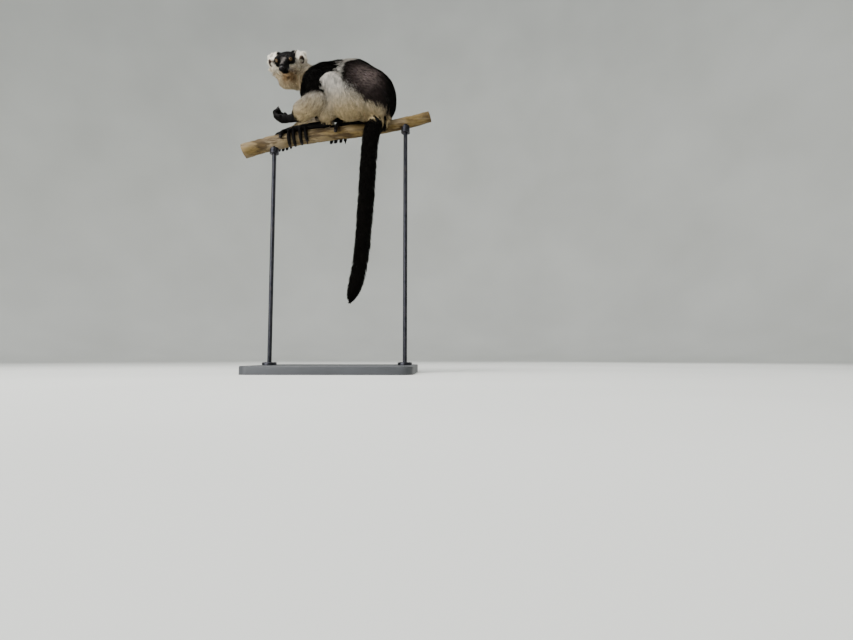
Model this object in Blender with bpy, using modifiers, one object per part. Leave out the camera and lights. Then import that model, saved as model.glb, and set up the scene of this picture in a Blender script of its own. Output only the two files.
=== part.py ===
"""Solids of a black-and-white ruffed lemur that crouches on a cut branch, on a plain display stand.

Metres, +Z up. The origin is the middle of the base's underside. The animal faces -X, so that its
left side is -Y. Every solid reaches to the tips of the coat.
"""
import math

import bmesh
import bpy
from mathutils import Matrix, Vector

# ---- driving dimensions -------------------------------------------------------------------------
FIT_GAP = 0.0003            # between solids that touch
PERCH_HEIGHT = 0.690        # of the branch's axis over the floor, at x = 0
PERCH_LEFT, PERCH_RIGHT = -0.280, 0.260
PERCH_RISE = 0.100          # slope at x = 0
PERCH_BEND = 1.10           # cubic bend that steepens both ends
PERCH_RADIUS = 0.0180       # at x = 0
PERCH_TAPER = 0.010         # radius lost per metre towards +X

BASE_LENGTH, BASE_WIDTH, BASE_THICK = 0.440, 0.320, 0.022
BASE_CORNER, BASE_EDGE = 0.030, 0.003
ROD_RADIUS, ROD_REACH = 0.006, 0.190
COLLAR_RADIUS, COLLAR_HEIGHT = 0.013, 0.014
FLANGE_RADIUS, FLANGE_HEIGHT = 0.020, 0.008
INTO_PERCH = 0.008          # how far the rods and collars reach into the bark before it is cut out

EYES_AT = (-0.1478, -0.065, 0.1825)   # midway between the eyes: x, y, height over the perch
HEAD_TURN = 93.0            # degrees from -X towards -Y
HEAD_TILT = -39.0           # the muzzle points below the level
HEAD_ROLL = 6.5             # the head leans to its right
EYE_RADIUS, EYE_SIDE, EYE_BACK = 0.0076, 0.0182, 0.0055
EAR_SIDE, EAR_BACK, EAR_LEAN = 0.0432, 0.0300, 32.0

KNEES = {"left": (-0.008, -0.074, 0.106), "right": (-0.002, 0.076, 0.112)}
ANKLES = {"left": (-0.036, 26, 0.020), "right": (0.030, -26, 0.020)}   # around the perch
SHOULDERS = {"left": (-0.062, -0.044, 0.130), "right": (-0.066, 0.046, 0.134)}
ELBOWS = {"left": (-0.050, -0.074, 0.060), "right": (-0.056, 0.060, 0.056)}
WRISTS = {"left": (-0.120, -0.042, 0.026), "right": (-0.134, 0.006, 0.016)}
RIGHT_PALM = -0.159
HEELS = {"left": -0.034, "right": 0.030}
TOE_ROOTS = {"left": (-0.139, -0.126, -0.108, -0.093), "right": (-0.024, -0.013, 0.000, 0.011)}
BIG_TOES = {"left": -0.075, "right": 0.002}
TAIL_CUTS = (-0.070, -0.185, -0.300, -0.410)

# ---- scene --------------------------------------------------------------------------------------
for old in list(bpy.data.objects):
    bpy.data.objects.remove(old, do_unlink=True)

animal = bpy.data.collections.new("ruffed_lemur")
bpy.context.scene.collection.children.link(animal)


def coat(name, colour, roughness=0.9, metallic=0.0):
    material = bpy.data.materials.new(name)
    material.use_nodes = True
    shader = material.node_tree.nodes["Principled BSDF"]
    shader.inputs["Base Color"].default_value = (*colour, 1.0)
    shader.inputs["Roughness"].default_value = roughness
    shader.inputs["Metallic"].default_value = metallic
    material.diffuse_color = (*colour, 1.0)
    return material


BLACK = coat("black_coat", (0.012, 0.011, 0.012))
UMBER = coat("brown_black_coat", (0.045, 0.034, 0.033))
WHITE = coat("white_coat", (0.78, 0.75, 0.68))
CREAM = coat("cream_coat", (0.70, 0.62, 0.48))
SKIN = coat("black_skin", (0.015, 0.014, 0.015), 0.5)
NOSE = coat("nose_leather", (0.010, 0.010, 0.011), 0.35)
AMBER = coat("amber_eye", (0.55, 0.33, 0.06), 0.08)
BARK = coat("branch_bark", (0.32, 0.25, 0.17), 0.85)
BLACKENED = coat("blackened_steel", (0.03, 0.03, 0.032), 0.45, 0.8)
BOARD = coat("painted_board", (0.055, 0.057, 0.060), 0.55)


# ---- places -------------------------------------------------------------------------------------
def at(x, y, height):
    """A point whose height is measured from the perch's axis at x = 0."""
    return Vector((x, y, PERCH_HEIGHT + height))


def perch_axis(x):
    return at(x, 0.0, PERCH_RISE * x + PERCH_BEND * x ** 3)


def perch_radius(x):
    return PERCH_RADIUS - PERCH_TAPER * x


def around_perch(x, angle, lift):
    """A point at a lift over the bark; angle 0 is the top, and +90 degrees the near side, -Y."""
    slope = PERCH_RISE + 3 * PERCH_BEND * x ** 2
    over = Vector((-slope, 0, 1)).normalized()
    turn = math.radians(angle)
    reach = perch_radius(x) + lift
    return perch_axis(x) + reach * (math.cos(turn) * over - math.sin(turn) * Vector((0, 1, 0)))


def head_frame():
    turn, tilt = math.radians(HEAD_TURN), math.radians(HEAD_TILT)
    level = Vector((-math.cos(turn), -math.sin(turn), 0))
    forward = level * math.cos(tilt) + Vector((0, 0, math.sin(tilt)))
    left = Vector((0, 0, 1)).cross(level)
    up = forward.cross(left)
    roll = Matrix.Rotation(math.radians(HEAD_ROLL), 3, forward)
    left, up = roll @ left, roll @ up
    frame = Matrix((left, forward, up)).transposed().to_4x4()
    frame.translation = at(*EYES_AT)
    return frame


HEAD = head_frame()


def on_head(left, forward, up):
    """A point of the head: to its left, ahead of the eyes, above them."""
    return HEAD @ Vector((left, forward, up))


# ---- building forms -----------------------------------------------------------------------------
def ball(centre, radii, frame=None):
    """One ellipsoid as a placing matrix; radii along the frame's axes, or one radius for all.

    The head's frame is left-handed, and a mirrored ball would be inside out, so it is turned back.
    """
    if isinstance(radii, (int, float)):
        radii = (radii, radii, radii)
    turn = frame.to_3x3() if frame else Matrix.Identity(3)
    if turn.determinant() < 0:
        turn.col[0] = -turn.col[0]
    return Matrix.Translation(centre) @ turn.to_4x4() @ Matrix.Diagonal((*radii, 1.0))


def smooth_between(stations, share):
    """Catmull-Rom value at a share, 0 to 1, of a list of equally long tuples."""
    last = len(stations) - 1
    place = min(share * last, last - 1e-9)
    index = int(place)
    step = place - index
    near = [stations[min(max(index + k, 0), last)] for k in (-1, 0, 1, 2)]
    value = []
    for a, b, c, d in zip(*near):
        value.append(0.5 * (2 * b + (c - a) * step + (2 * a - 5 * b + 4 * c - d) * step ** 2
                            + (3 * b - a - 3 * c + d) * step ** 3))
    return value


def strand(*stations):
    """A chain of balls through stations of (point, radius), close enough to read as one limb."""
    flat = [(*point, radius) for point, radius in stations]
    length = sum((stations[k + 1][0] - stations[k][0]).length for k in range(len(stations) - 1))
    thin = min(radius for _, radius in stations)
    count = max(4, math.ceil(length / (0.45 * thin)))
    chain = []
    for k in range(count + 1):
        x, y, z, radius = smooth_between(flat, k / count)
        chain.append(ball(Vector((x, y, z)), radius))
    return chain


def add_object(name, mesh, material):
    mesh.materials.clear()
    mesh.materials.append(material)
    obj = bpy.data.objects.new(name, mesh)
    animal.objects.link(obj)
    return obj


def bake(obj):
    """Give the object the mesh that its modifiers make, and clear them."""
    graph = bpy.context.evaluated_depsgraph_get()
    mesh = bpy.data.meshes.new_from_object(obj.evaluated_get(graph))
    obj.modifiers.clear()
    spent, obj.data = obj.data, mesh
    bpy.data.meshes.remove(spent)


def keep_largest_body(obj):
    """Weld, drop the crumbs that a cut leaves, and split every face into triangles."""
    bm = bmesh.new()
    bm.from_mesh(obj.data)
    bmesh.ops.remove_doubles(bm, verts=bm.verts, dist=2e-6)
    bmesh.ops.dissolve_degenerate(bm, edges=bm.edges, dist=2e-6)
    bmesh.ops.triangulate(bm, faces=bm.faces)
    left = set(bm.verts)
    bodies = []
    while left:
        body, edge = set(), [left.pop()]
        while edge:
            vert = edge.pop()
            body.add(vert)
            for link in vert.link_edges:
                other = link.other_vert(vert)
                if other in left:
                    left.remove(other)
                    edge.append(other)
        bodies.append(body)
    largest = max(bodies, key=len)
    crumbs = [vert for body in bodies if body is not largest for vert in body]
    bmesh.ops.delete(bm, geom=crumbs, context="VERTS")
    bm.to_mesh(obj.data)
    bm.free()


def form(name, balls, material, faces, voxel=0.003, smoothing=8):
    """One closed soft form: the balls are fused, smoothed and cut down to a number of faces."""
    bm = bmesh.new()
    for place in balls:
        bmesh.ops.create_icosphere(bm, subdivisions=3, radius=1.0, matrix=place)
    mesh = bpy.data.meshes.new(name)
    bm.to_mesh(mesh)
    bm.free()
    obj = add_object(name, mesh, material)
    fuse = obj.modifiers.new("fuse", "REMESH")
    fuse.mode = "VOXEL"
    fuse.voxel_size = voxel
    soften = obj.modifiers.new("soften", "SMOOTH")
    soften.iterations = smoothing
    soften.factor = 0.5
    bake(obj)
    thin = obj.modifiers.new("thin_out", "DECIMATE")
    thin.ratio = faces / (2 * len(obj.data.polygons))
    bake(obj)
    keep_largest_body(obj)
    obj.data.shade_smooth()
    return keep_mould(obj)


MOULDS = {}


def keep_mould(obj):
    """Remember an object's form, grown by the fit gap, for the hollows that its neighbours get."""
    tool = bpy.data.objects.new("mould", obj.data.copy())
    animal.objects.link(tool)
    grow = tool.modifiers.new("grow", "DISPLACE")
    grow.mid_level = 0.0
    grow.strength = FIT_GAP
    bake(tool)
    MOULDS[obj.name] = tool.data
    bpy.data.objects.remove(tool, do_unlink=True)
    return obj


def carve(obj, *others):
    """Cut the moulds of other solids out of an object."""
    for other in others:
        tool = bpy.data.objects.new("tool", MOULDS[other.name])
        animal.objects.link(tool)
        cut = obj.modifiers.new("cut", "BOOLEAN")
        cut.operation = "DIFFERENCE"
        cut.solver = "EXACT"
        cut.object = tool
        bake(obj)
        bpy.data.objects.remove(tool, do_unlink=True)
    keep_largest_body(obj)


def slice_off(obj, name, point, normal, material):
    """Split an object at a plane: the side that the normal points to becomes a new object."""
    point, normal = Vector(point), Vector(normal).normalized()
    rest = add_object(name, obj.data.copy(), material)
    for piece, way in ((obj, -1), (rest, 1)):
        bm = bmesh.new()
        bm.from_mesh(piece.data)
        parts = bm.verts[:] + bm.edges[:] + bm.faces[:]
        cut = bmesh.ops.bisect_plane(bm, geom=parts, plane_co=point + way * normal * FIT_GAP / 2,
                                     plane_no=way * normal, clear_inner=True)
        rim = [part for part in cut["geom_cut"] if isinstance(part, bmesh.types.BMEdge)]
        bmesh.ops.triangle_fill(bm, edges=rim, use_beauty=True, normal=-way * normal)
        bmesh.ops.recalc_face_normals(bm, faces=bm.faces)
        bm.to_mesh(piece.data)
        bm.free()
        keep_largest_body(piece)
        keep_mould(piece)
    return rest


# ---- perch and stand ----------------------------------------------------------------------------
def make_perch():
    line = bpy.data.curves.new("perch_line", "CURVE")
    line.dimensions = "3D"
    line.bevel_depth = 1.0
    line.bevel_resolution = 2
    line.use_fill_caps = True
    spline = line.splines.new("POLY")
    steps = 12
    spline.points.add(steps)
    for k, point in enumerate(spline.points):
        x = PERCH_LEFT + (PERCH_RIGHT - PERCH_LEFT) * k / steps
        point.co = (*perch_axis(x), 1.0)
        point.radius = perch_radius(x) * (1 + 0.03 * math.sin(31.0 * x))
    guide = bpy.data.objects.new("perch_line", line)
    animal.objects.link(guide)
    graph = bpy.context.evaluated_depsgraph_get()
    mesh = bpy.data.meshes.new_from_object(guide.evaluated_get(graph))
    bpy.data.objects.remove(guide, do_unlink=True)
    bm = bmesh.new()
    bm.from_mesh(mesh)
    bmesh.ops.remove_doubles(bm, verts=bm.verts, dist=1e-5)
    bmesh.ops.recalc_face_normals(bm, faces=bm.faces)
    bm.to_mesh(mesh)
    bm.free()
    mesh.shade_smooth()
    return keep_mould(add_object("perch_branch", mesh, BARK))


def upright(name, x, low, high, radius, sides=12):
    """A plain round steel piece that stands at x between two heights."""
    bm = bmesh.new()
    place = Matrix.Translation((x, 0, (low + high) / 2))
    bmesh.ops.create_cone(bm, cap_ends=True, segments=sides, radius1=radius, radius2=radius,
                          depth=high - low, matrix=place)
    mesh = bpy.data.meshes.new(name)
    bm.to_mesh(mesh)
    bm.free()
    return keep_mould(add_object(name, mesh, BLACKENED))


def make_stand(perch):
    """A board with round corners, and two rods with a flange below and a collar under the perch."""
    size = Matrix.Diagonal((BASE_LENGTH, BASE_WIDTH, BASE_THICK, 1))
    bm = bmesh.new()
    bmesh.ops.create_cube(bm, size=1.0, matrix=Matrix.Translation((0, 0, BASE_THICK / 2)) @ size)
    corners = [edge for edge in bm.edges
               if abs(edge.verts[0].co.z - edge.verts[1].co.z) > BASE_THICK / 2]
    bmesh.ops.bevel(bm, geom=corners, offset=BASE_CORNER, segments=4, profile=0.5, affect="EDGES")
    rim = [edge for edge in bm.edges if min(vert.co.z for vert in edge.verts) > BASE_THICK - 1e-6]
    bmesh.ops.bevel(bm, geom=rim, offset=BASE_EDGE, segments=1, profile=0.5, affect="EDGES")
    mesh = bpy.data.meshes.new("stand_base")
    bm.to_mesh(mesh)
    bm.free()
    add_object("stand_base", mesh, BOARD)
    foot = BASE_THICK + FIT_GAP
    for side, x in (("front", -ROD_REACH), ("rear", ROD_REACH)):
        under = perch_axis(x).z - perch_radius(x)
        rod = upright(f"stand_rod_{side}", x, foot, under + INTO_PERCH, ROD_RADIUS)
        flange = upright(f"stand_flange_{side}", x, foot, foot + FLANGE_HEIGHT, FLANGE_RADIUS, 16)
        collar = upright(f"stand_collar_{side}", x, under - COLLAR_HEIGHT, under + INTO_PERCH,
                         COLLAR_RADIUS)
        carve(rod, perch)
        carve(collar, perch, rod)
        carve(flange, rod)


# ---- trunk and neck -----------------------------------------------------------------------------
def make_trunk():
    trunk = form("loin", [
        ball(at(0.082, 0.000, 0.102), (0.083, 0.080, 0.086)),
        ball(at(0.095, 0.000, 0.086), (0.070, 0.072, 0.062)),
        ball(at(0.040, 0.000, 0.125), (0.086, 0.083, 0.089)),
        ball(at(0.000, 0.000, 0.124), (0.075, 0.076, 0.088)),
        ball(at(-0.042, 0.000, 0.126), (0.060, 0.068, 0.084)),
        ball(at(-0.067, 0.000, 0.124), (0.052, 0.061, 0.068)),
    ], WHITE, 440, 0.004, 14)
    rump = slice_off(trunk, "rump", at(0.035, 0, 0.16), (1.0, 0, -0.12), BLACK)
    chest = slice_off(trunk, "chest", at(-0.004, 0, 0.16), (-1.0, 0, -0.10), BLACK)
    return trunk, rump, chest


def make_neck():
    return form("neck", strand((on_head(0, -0.078, -0.046), 0.026), (at(-0.113, 0.012, 0.174), 0.034),
                               (at(-0.084, 0.000, 0.160), 0.041)), BLACK, 110, 0.005)


# ---- limbs --------------------------------------------------------------------------------------
def make_thigh(side, way, knee):
    """The hip lies low over the perch, the knee high in front; the right leg lies a little higher."""
    hip = at(0.090, way * 0.046, 0.074 + 0.006 * way)
    middle = at(0.042, way * 0.064, 0.070 + 0.008 * way)
    return form(f"thigh_{side}", [
        ball(hip, (0.060, 0.042, 0.058)),
        ball(middle, (0.058, 0.037, 0.062)),
        ball(middle.lerp(knee, 0.5), (0.045, 0.034, 0.048)),
        ball(knee, (0.033, 0.031, 0.034)),
    ], UMBER, 180, 0.0035, 10)


def make_shin(side, knee, ankle):
    calf = knee.lerp(ankle, 0.45) + Vector((0.012, 0, 0))
    return form(f"shin_{side}", strand((knee, 0.028), (calf, 0.034), (knee.lerp(ankle, 0.8), 0.026),
                                       (ankle, 0.016)), WHITE, 110, 0.0035)


def toe_round(x_root, x_tip, start, end, radius, way):
    """A digit that wraps the perch from one angle to another; way +1 is over the near side."""
    stations = []
    for share, swell in ((0.0, 1.0), (0.3, 0.92), (0.55, 0.98), (0.8, 0.92), (1.0, 0.86)):
        angle = way * (start + (end - start) * share)
        thick = radius * swell
        stations.append((around_perch(x_root + (x_tip - x_root) * share, angle, thick * 0.93), thick))
    return strand(*stations)


def make_foot(side, way, perch):
    """A long grasping foot: its sole lies on the bark, four toes wrap one side, the big toe the other."""
    heel_x, toe_roots, big_toe = HEELS[side], TOE_ROOTS[side], BIG_TOES[side]
    heel = around_perch(heel_x, way * 20, 0.009)
    balls = strand((heel, 0.0100), (around_perch(heel_x - 0.035, way * 24, 0.0085), 0.0095),
                   (around_perch(toe_roots[1], way * 26, 0.0070), 0.0085))
    balls += strand((around_perch(heel_x - 0.020, way * 12, 0.008), 0.0085),
                    (around_perch(toe_roots[2], way * 12, 0.0065), 0.0080),
                    (around_perch(toe_roots[0], way * 18, 0.0055), 0.0062))
    for k, (root, reach) in enumerate(zip(toe_roots, (150, 156, 152, 140))):
        balls += toe_round(root, root - 0.006 + 0.002 * k, 24, reach, 0.0057, way)
    balls += toe_round(big_toe, big_toe - 0.010, 5, 96, 0.0062, -way)
    foot = form(f"foot_{side}", balls, SKIN, 250, 0.0016, 3)
    carve(foot, perch)
    return foot


def make_upper_arm(side, shoulder, elbow):
    middle = shoulder.lerp(elbow, 0.55)
    return form(f"upper_arm_{side}", strand((shoulder, 0.038), (middle, 0.034), (elbow, 0.026)),
                BLACK, 92, 0.0035, 10)


def make_forearm(side, elbow, wrist):
    return form(f"forearm_{side}", strand((elbow, 0.030), (elbow.lerp(wrist, 0.35), 0.032),
                                          (elbow.lerp(wrist, 0.75), 0.025), (wrist, 0.0150)),
                WHITE, 100, 0.0035)


def make_raised_hand(wrist):
    """The left hand, palm up, with its four fingers curled up and the thumb held over the palm."""
    palm = wrist + Vector((-0.028, 0.003, -0.001))
    balls = strand((wrist, 0.0125), (wrist + Vector((-0.012, 0.001, -0.001)), 0.0125))
    balls += [ball(palm, (0.020, 0.016, 0.0120)),
              ball(palm + Vector((-0.010, 0, 0.001)), (0.013, 0.018, 0.0115))]
    for k, across in enumerate((-0.0135, -0.0045, 0.0045, 0.0130)):
        root = palm + Vector((-0.012, across, 0.000))
        lag = 0.003 * abs(k - 1.3)
        balls += strand((root, 0.0068), (root + Vector((-0.014 + lag, 0, 0.004)), 0.0062),
                        (root + Vector((-0.017 + lag, 0, 0.017 - lag)), 0.0058),
                        (root + Vector((-0.008 + lag, 0.001, 0.027 - lag)), 0.0054))
    thumb = palm + Vector((0.008, 0.013, 0.004))
    balls += strand((thumb, 0.0068), (thumb + Vector((-0.005, 0.006, 0.011)), 0.0060),
                    (thumb + Vector((-0.013, 0.002, 0.018)), 0.0052))
    return form("hand_left", balls, SKIN, 250, 0.0018, 3)


def make_gripping_hand(wrist, palm_x, perch):
    """The right hand on the perch: its fingers wrap the far side, its thumb the near side."""
    palm = around_perch(palm_x, -14, 0.0075)
    balls = strand((wrist, 0.0115), (wrist.lerp(palm, 0.5), 0.0108), (palm, 0.0105))
    balls += strand((around_perch(palm_x + 0.010, -14, 0.007), 0.0085),
                    (around_perch(palm_x - 0.018, -18, 0.0065), 0.0082))
    for k, reach in enumerate((118, 134, 138, 126)):
        x = palm_x + 0.012 - 0.0115 * k
        balls += toe_round(x, x - 0.004, 14, reach, 0.0054, -1)
    balls += toe_round(palm_x + 0.006, palm_x - 0.006, 2, 84, 0.0060, 1)
    hand = form("hand_right", balls, SKIN, 220, 0.0016, 3)
    carve(hand, perch)
    return hand


# ---- head ---------------------------------------------------------------------------------------
def head_ball(left, forward, up, radii):
    return ball(on_head(left, forward, up), radii, HEAD)


def both(left, forward, up, radii):
    return [head_ball(left, forward, up, radii), head_ball(-left, forward, up, radii)]


def make_head():
    balls = [head_ball(0, -0.043, -0.011, (0.034, 0.040, 0.028)),
             head_ball(0, -0.020, -0.008, (0.026, 0.026, 0.021))]
    balls += both(0.0165, -0.010, -0.001, (0.0115, 0.0120, 0.0105))
    balls += both(0.018, -0.024, -0.016, (0.013, 0.020, 0.013))
    balls += strand((on_head(0, -0.012, -0.009), 0.0165), (on_head(0, 0.012, -0.0125), 0.0130),
                    (on_head(0, 0.030, -0.0160), 0.0105), (on_head(0, 0.040, -0.0180), 0.0088))
    return form("head", balls, BLACK, 300, 0.0018, 6)


def make_jaw():
    return form("lower_jaw", strand((on_head(0, -0.014, -0.028), 0.0110),
                                    (on_head(0, 0.012, -0.0265), 0.0080),
                                    (on_head(0, 0.031, -0.0255), 0.0052)), CREAM, 90, 0.0016, 4)


def make_nose():
    return form("nose", [head_ball(0, 0.0455, -0.0165, (0.0058, 0.0045, 0.0046)),
                         head_ball(0, 0.0450, -0.0200, (0.0030, 0.0035, 0.0040))], NOSE, 70, 0.0009, 3)


def make_eye(name, side):
    bm = bmesh.new()
    place = ball(on_head(side * EYE_SIDE, -EYE_BACK, 0.0), EYE_RADIUS, HEAD)
    bmesh.ops.create_uvsphere(bm, u_segments=10, v_segments=7, radius=1.0, matrix=place)
    mesh = bpy.data.meshes.new(name)
    bm.to_mesh(mesh)
    bm.free()
    mesh.shade_smooth()
    return keep_mould(add_object(name, mesh, AMBER))


def make_ear(name, side):
    """A short round ear, cupped in front, deep in the ruff; side is +1 on the animal's left."""
    lean = HEAD @ Matrix.Rotation(math.radians(-side * EAR_LEAN), 4, "Z")
    centre = on_head(side * EAR_SIDE, -EAR_BACK, -0.006)
    mouth = on_head(side * (EAR_SIDE + 0.0038), 0.0065 - EAR_BACK, -0.007)
    ear = form(name, [ball(centre, (0.0110, 0.0082, 0.0142), lean)], SKIN, 84, 0.0014, 2)
    hollow = form("hollow", [ball(mouth, (0.0072, 0.0060, 0.0098), lean)], SKIN, 50, 0.0014, 2)
    carve(ear, hollow)
    bpy.data.objects.remove(hollow, do_unlink=True)
    return ear


def make_ruff():
    """The long white hair from the ears round the cheeks to the throat."""
    balls = both(0.030, -0.048, -0.021, (0.0280, 0.0280, 0.0380))
    balls += both(0.041, -0.054, -0.001, (0.0160, 0.0170, 0.0165))
    balls += [head_ball(0.003, -0.049, -0.036, (0.0530, 0.0320, 0.0390)),
              head_ball(-0.006, -0.038, -0.060, (0.0380, 0.0310, 0.0270)),
              head_ball(0, -0.024, -0.037, (0.0260, 0.0240, 0.0140))]
    return form("ruff", balls, WHITE, 215, 0.0026, 8)


# ---- tail ---------------------------------------------------------------------------------------
def make_tail(rump, thigh, perch):
    """The long bushy tail: out under the haunch, over the near side of the perch and straight down."""
    tail = form("tail_1", strand(
        (at(0.120, -0.014, 0.026), 0.022), (at(0.109, -0.052, 0.004), 0.024),
        (at(0.0995, -0.064, -0.036), 0.0245),
        (at(0.0945, -0.065, -0.090), 0.0242), (at(0.0905, -0.064, -0.160), 0.0240),
        (at(0.0868, -0.063, -0.225), 0.0236), (at(0.0822, -0.063, -0.300), 0.0232),
        (at(0.0765, -0.063, -0.365), 0.0226), (at(0.0675, -0.063, -0.422), 0.0212),
        (at(0.0565, -0.063, -0.464), 0.0170), (at(0.0480, -0.063, -0.490), 0.0100)), BLACK, 330, 0.004, 8)
    pieces = [tail]
    for number, height in enumerate(TAIL_CUTS, start=2):
        pieces.append(slice_off(pieces[-1], f"tail_{number}", at(0, 0, height), (0, 0, -1), BLACK))
    carve(tail, perch, thigh)
    carve(rump, tail)


# ---- assembly -----------------------------------------------------------------------------------
def make_limbs(perch):
    """Both arms and legs, each cut by what it rests on; returns them by name."""
    limbs = {"foot_left": make_foot("left", 1, perch), "foot_right": make_foot("right", -1, perch)}
    wrists = {side: at(*place) for side, place in WRISTS.items()}
    limbs["hand_left"] = make_raised_hand(wrists["left"])
    limbs["hand_right"] = make_gripping_hand(wrists["right"], RIGHT_PALM, perch)
    carve(limbs["hand_right"], limbs["foot_left"])
    feet = (limbs["foot_left"], limbs["foot_right"])
    for side, way in (("left", -1), ("right", 1)):
        knee, elbow = at(*KNEES[side]), at(*ELBOWS[side])
        thigh = make_thigh(side, way, knee)
        shin = make_shin(side, knee, around_perch(*ANKLES[side]))
        upper = make_upper_arm(side, at(*SHOULDERS[side]), elbow)
        forearm = make_forearm(side, elbow, wrists[side])
        carve(thigh, perch)
        carve(upper, thigh)
        carve(shin, thigh, upper, *feet, perch)
        carve(forearm, upper, thigh, shin, limbs[f"hand_{side}"], *feet, perch)
        limbs.update({limb.name: limb for limb in (thigh, shin, upper, forearm)})
    return limbs


def make_all():
    perch = make_perch()
    make_stand(perch)
    limbs = make_limbs(perch)
    arms_and_legs = [limb for name, limb in limbs.items() if not name.startswith("hand")]
    upper_arms = [limbs["upper_arm_left"], limbs["upper_arm_right"]]

    for part in make_trunk():
        carve(part, perch, *arms_and_legs)
    chest, rump = animal.objects["chest"], animal.objects["rump"]
    make_tail(rump, limbs["thigh_left"], perch)

    neck, ruff, head = make_neck(), make_ruff(), make_head()
    jaw, nose = make_jaw(), make_nose()
    eyes = [make_eye("eye_left", 1), make_eye("eye_right", -1)]
    ears = [make_ear("ear_left", 1), make_ear("ear_right", -1)]
    carve(head, *eyes, nose, jaw)
    carve(neck, head)
    for ear in ears:
        carve(ear, head, neck)
    carve(ruff, head, jaw, *ears, neck)
    for part in (chest, *upper_arms):
        carve(part, ruff, neck)


make_all()
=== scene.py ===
"""A black-and-white ruffed lemur, life size, on a cut branch and a plain display stand.

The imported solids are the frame, in metres, +Z up, the animal facing -X with its left side to -Y. They
reach to the tips of the coat; the skin made here lies inside them, and the coat fills what is between.
"""
import math

import bmesh
import bpy
import numpy as np
from mathutils import Matrix, Vector, bvhtree, kdtree


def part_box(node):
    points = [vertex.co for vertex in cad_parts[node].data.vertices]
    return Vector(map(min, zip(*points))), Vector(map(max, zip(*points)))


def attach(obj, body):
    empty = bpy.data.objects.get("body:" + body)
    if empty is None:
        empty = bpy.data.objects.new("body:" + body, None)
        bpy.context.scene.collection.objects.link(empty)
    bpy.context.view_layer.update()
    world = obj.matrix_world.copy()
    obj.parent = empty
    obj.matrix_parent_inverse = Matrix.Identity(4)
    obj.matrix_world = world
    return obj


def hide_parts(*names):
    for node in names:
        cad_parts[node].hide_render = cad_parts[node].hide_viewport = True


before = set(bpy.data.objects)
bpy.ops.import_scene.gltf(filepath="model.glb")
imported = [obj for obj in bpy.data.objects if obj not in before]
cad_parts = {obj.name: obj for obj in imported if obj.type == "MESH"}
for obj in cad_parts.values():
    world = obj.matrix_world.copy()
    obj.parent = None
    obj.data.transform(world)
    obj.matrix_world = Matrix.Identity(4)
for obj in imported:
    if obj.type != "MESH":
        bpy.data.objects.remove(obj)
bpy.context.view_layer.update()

# ---- Base board ---------------------------------------------------------------------------------
# A plain board of medium-density fibre, cut with round corners, its top edge eased with a router and
# sprayed in a dark satin paint. It lies on the floor and carries the two rods.
BOARD_CORNER, BOARD_EASE = 0.030, 0.0030
PAINT_GREY = "#3B3D40"
PAINT_CLOUD, ORANGE_PEEL = 60, 0.9     # mm: slow changes of the gloss, and the relief of a sprayed coat


def linear(hex_colour):
    """An sRGB hex value as a linear colour."""
    parts = [int(hex_colour[k:k + 2], 16) / 255 for k in (1, 3, 5)]
    return [(c / 12.92) if c <= 0.04045 else ((c + 0.055) / 1.055) ** 2.4 for c in parts] + [1.0]


def new_material(name, hex_colour, roughness, metallic=0.0, more=None):
    """A Principled material with its uniform values on the shader's own sockets."""
    material = bpy.data.materials.new(name)
    material.use_nodes = True
    shader = material.node_tree.nodes["Principled BSDF"]
    values = {"Base Color": linear(hex_colour), "Roughness": roughness, "Metallic": metallic}
    for key, value in {**values, **(more or {})}.items():
        shader.inputs[key].default_value = value
    return material


def fill_ramp(band, stops):
    """Puts (place, hex colour or grey level) stops on a colour ramp."""
    while len(band.elements) < len(stops):
        band.elements.new(0.5)
    for element, (place, colour) in zip(band.elements, stops):
        element.position = place
        element.color = linear(colour) if isinstance(colour, str) else (colour, colour, colour, 1)


def add_node(material, kind, settings, links, to=None):
    """Adds a node with its settings and links, and feeds the shader's socket named by to.

    A link gives an input a value, another node's first output, or (node, output).
    """
    tree = material.node_tree
    node = tree.nodes.new(f"ShaderNode{kind}")
    for key, value in settings.items():
        if key == "stops":
            fill_ramp(node.color_ramp, value)
        else:
            setattr(node, key, value)
    for key, source in links.items():
        if isinstance(source, bpy.types.Node):
            tree.links.new(first_output(source), node.inputs[key])
        elif isinstance(source, tuple):
            tree.links.new(source[0].outputs[source[1]], node.inputs[key])
        else:
            node.inputs[key].default_value = source
    if to:
        tree.links.new(first_output(node), tree.nodes["Principled BSDF"].inputs[to])
    return node


def first_output(node):
    return next(socket for socket in node.outputs if socket.enabled)


def grain(material, size_mm, detail=3.0, stretch=(1, 1, 1), roughness=0.55):
    """Uneven grain in the part's own metres, its specks about size_mm across."""
    place = add_node(material, "TexCoord", {}, {})
    scale = add_node(material, "Mapping", {}, {"Vector": (place, "Object"),
                                               "Scale": [s * 1000 / size_mm for s in stretch]})
    return add_node(material, "TexNoise", {}, {"Vector": scale, "Scale": 1.0, "Detail": detail,
                                               "Roughness": roughness})


def mesh_from(bm, name):
    """Turns a bmesh into a mesh and frees it."""
    mesh = bpy.data.meshes.new(name)
    bm.to_mesh(mesh)
    bm.free()
    return mesh


def add_piece(name, bm_or_mesh, *materials):
    """Links a smooth-shaded mesh as one piece of the part that rides on the root body."""
    mesh = mesh_from(bm_or_mesh, name) if isinstance(bm_or_mesh, bmesh.types.BMesh) else bm_or_mesh
    mesh.materials.clear()
    for material in materials:
        mesh.materials.append(material)
    piece = bpy.data.objects.new(name, mesh)
    bpy.context.scene.collection.objects.link(piece)
    mesh.shade_smooth()
    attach(piece, "root")
    return piece


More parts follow.
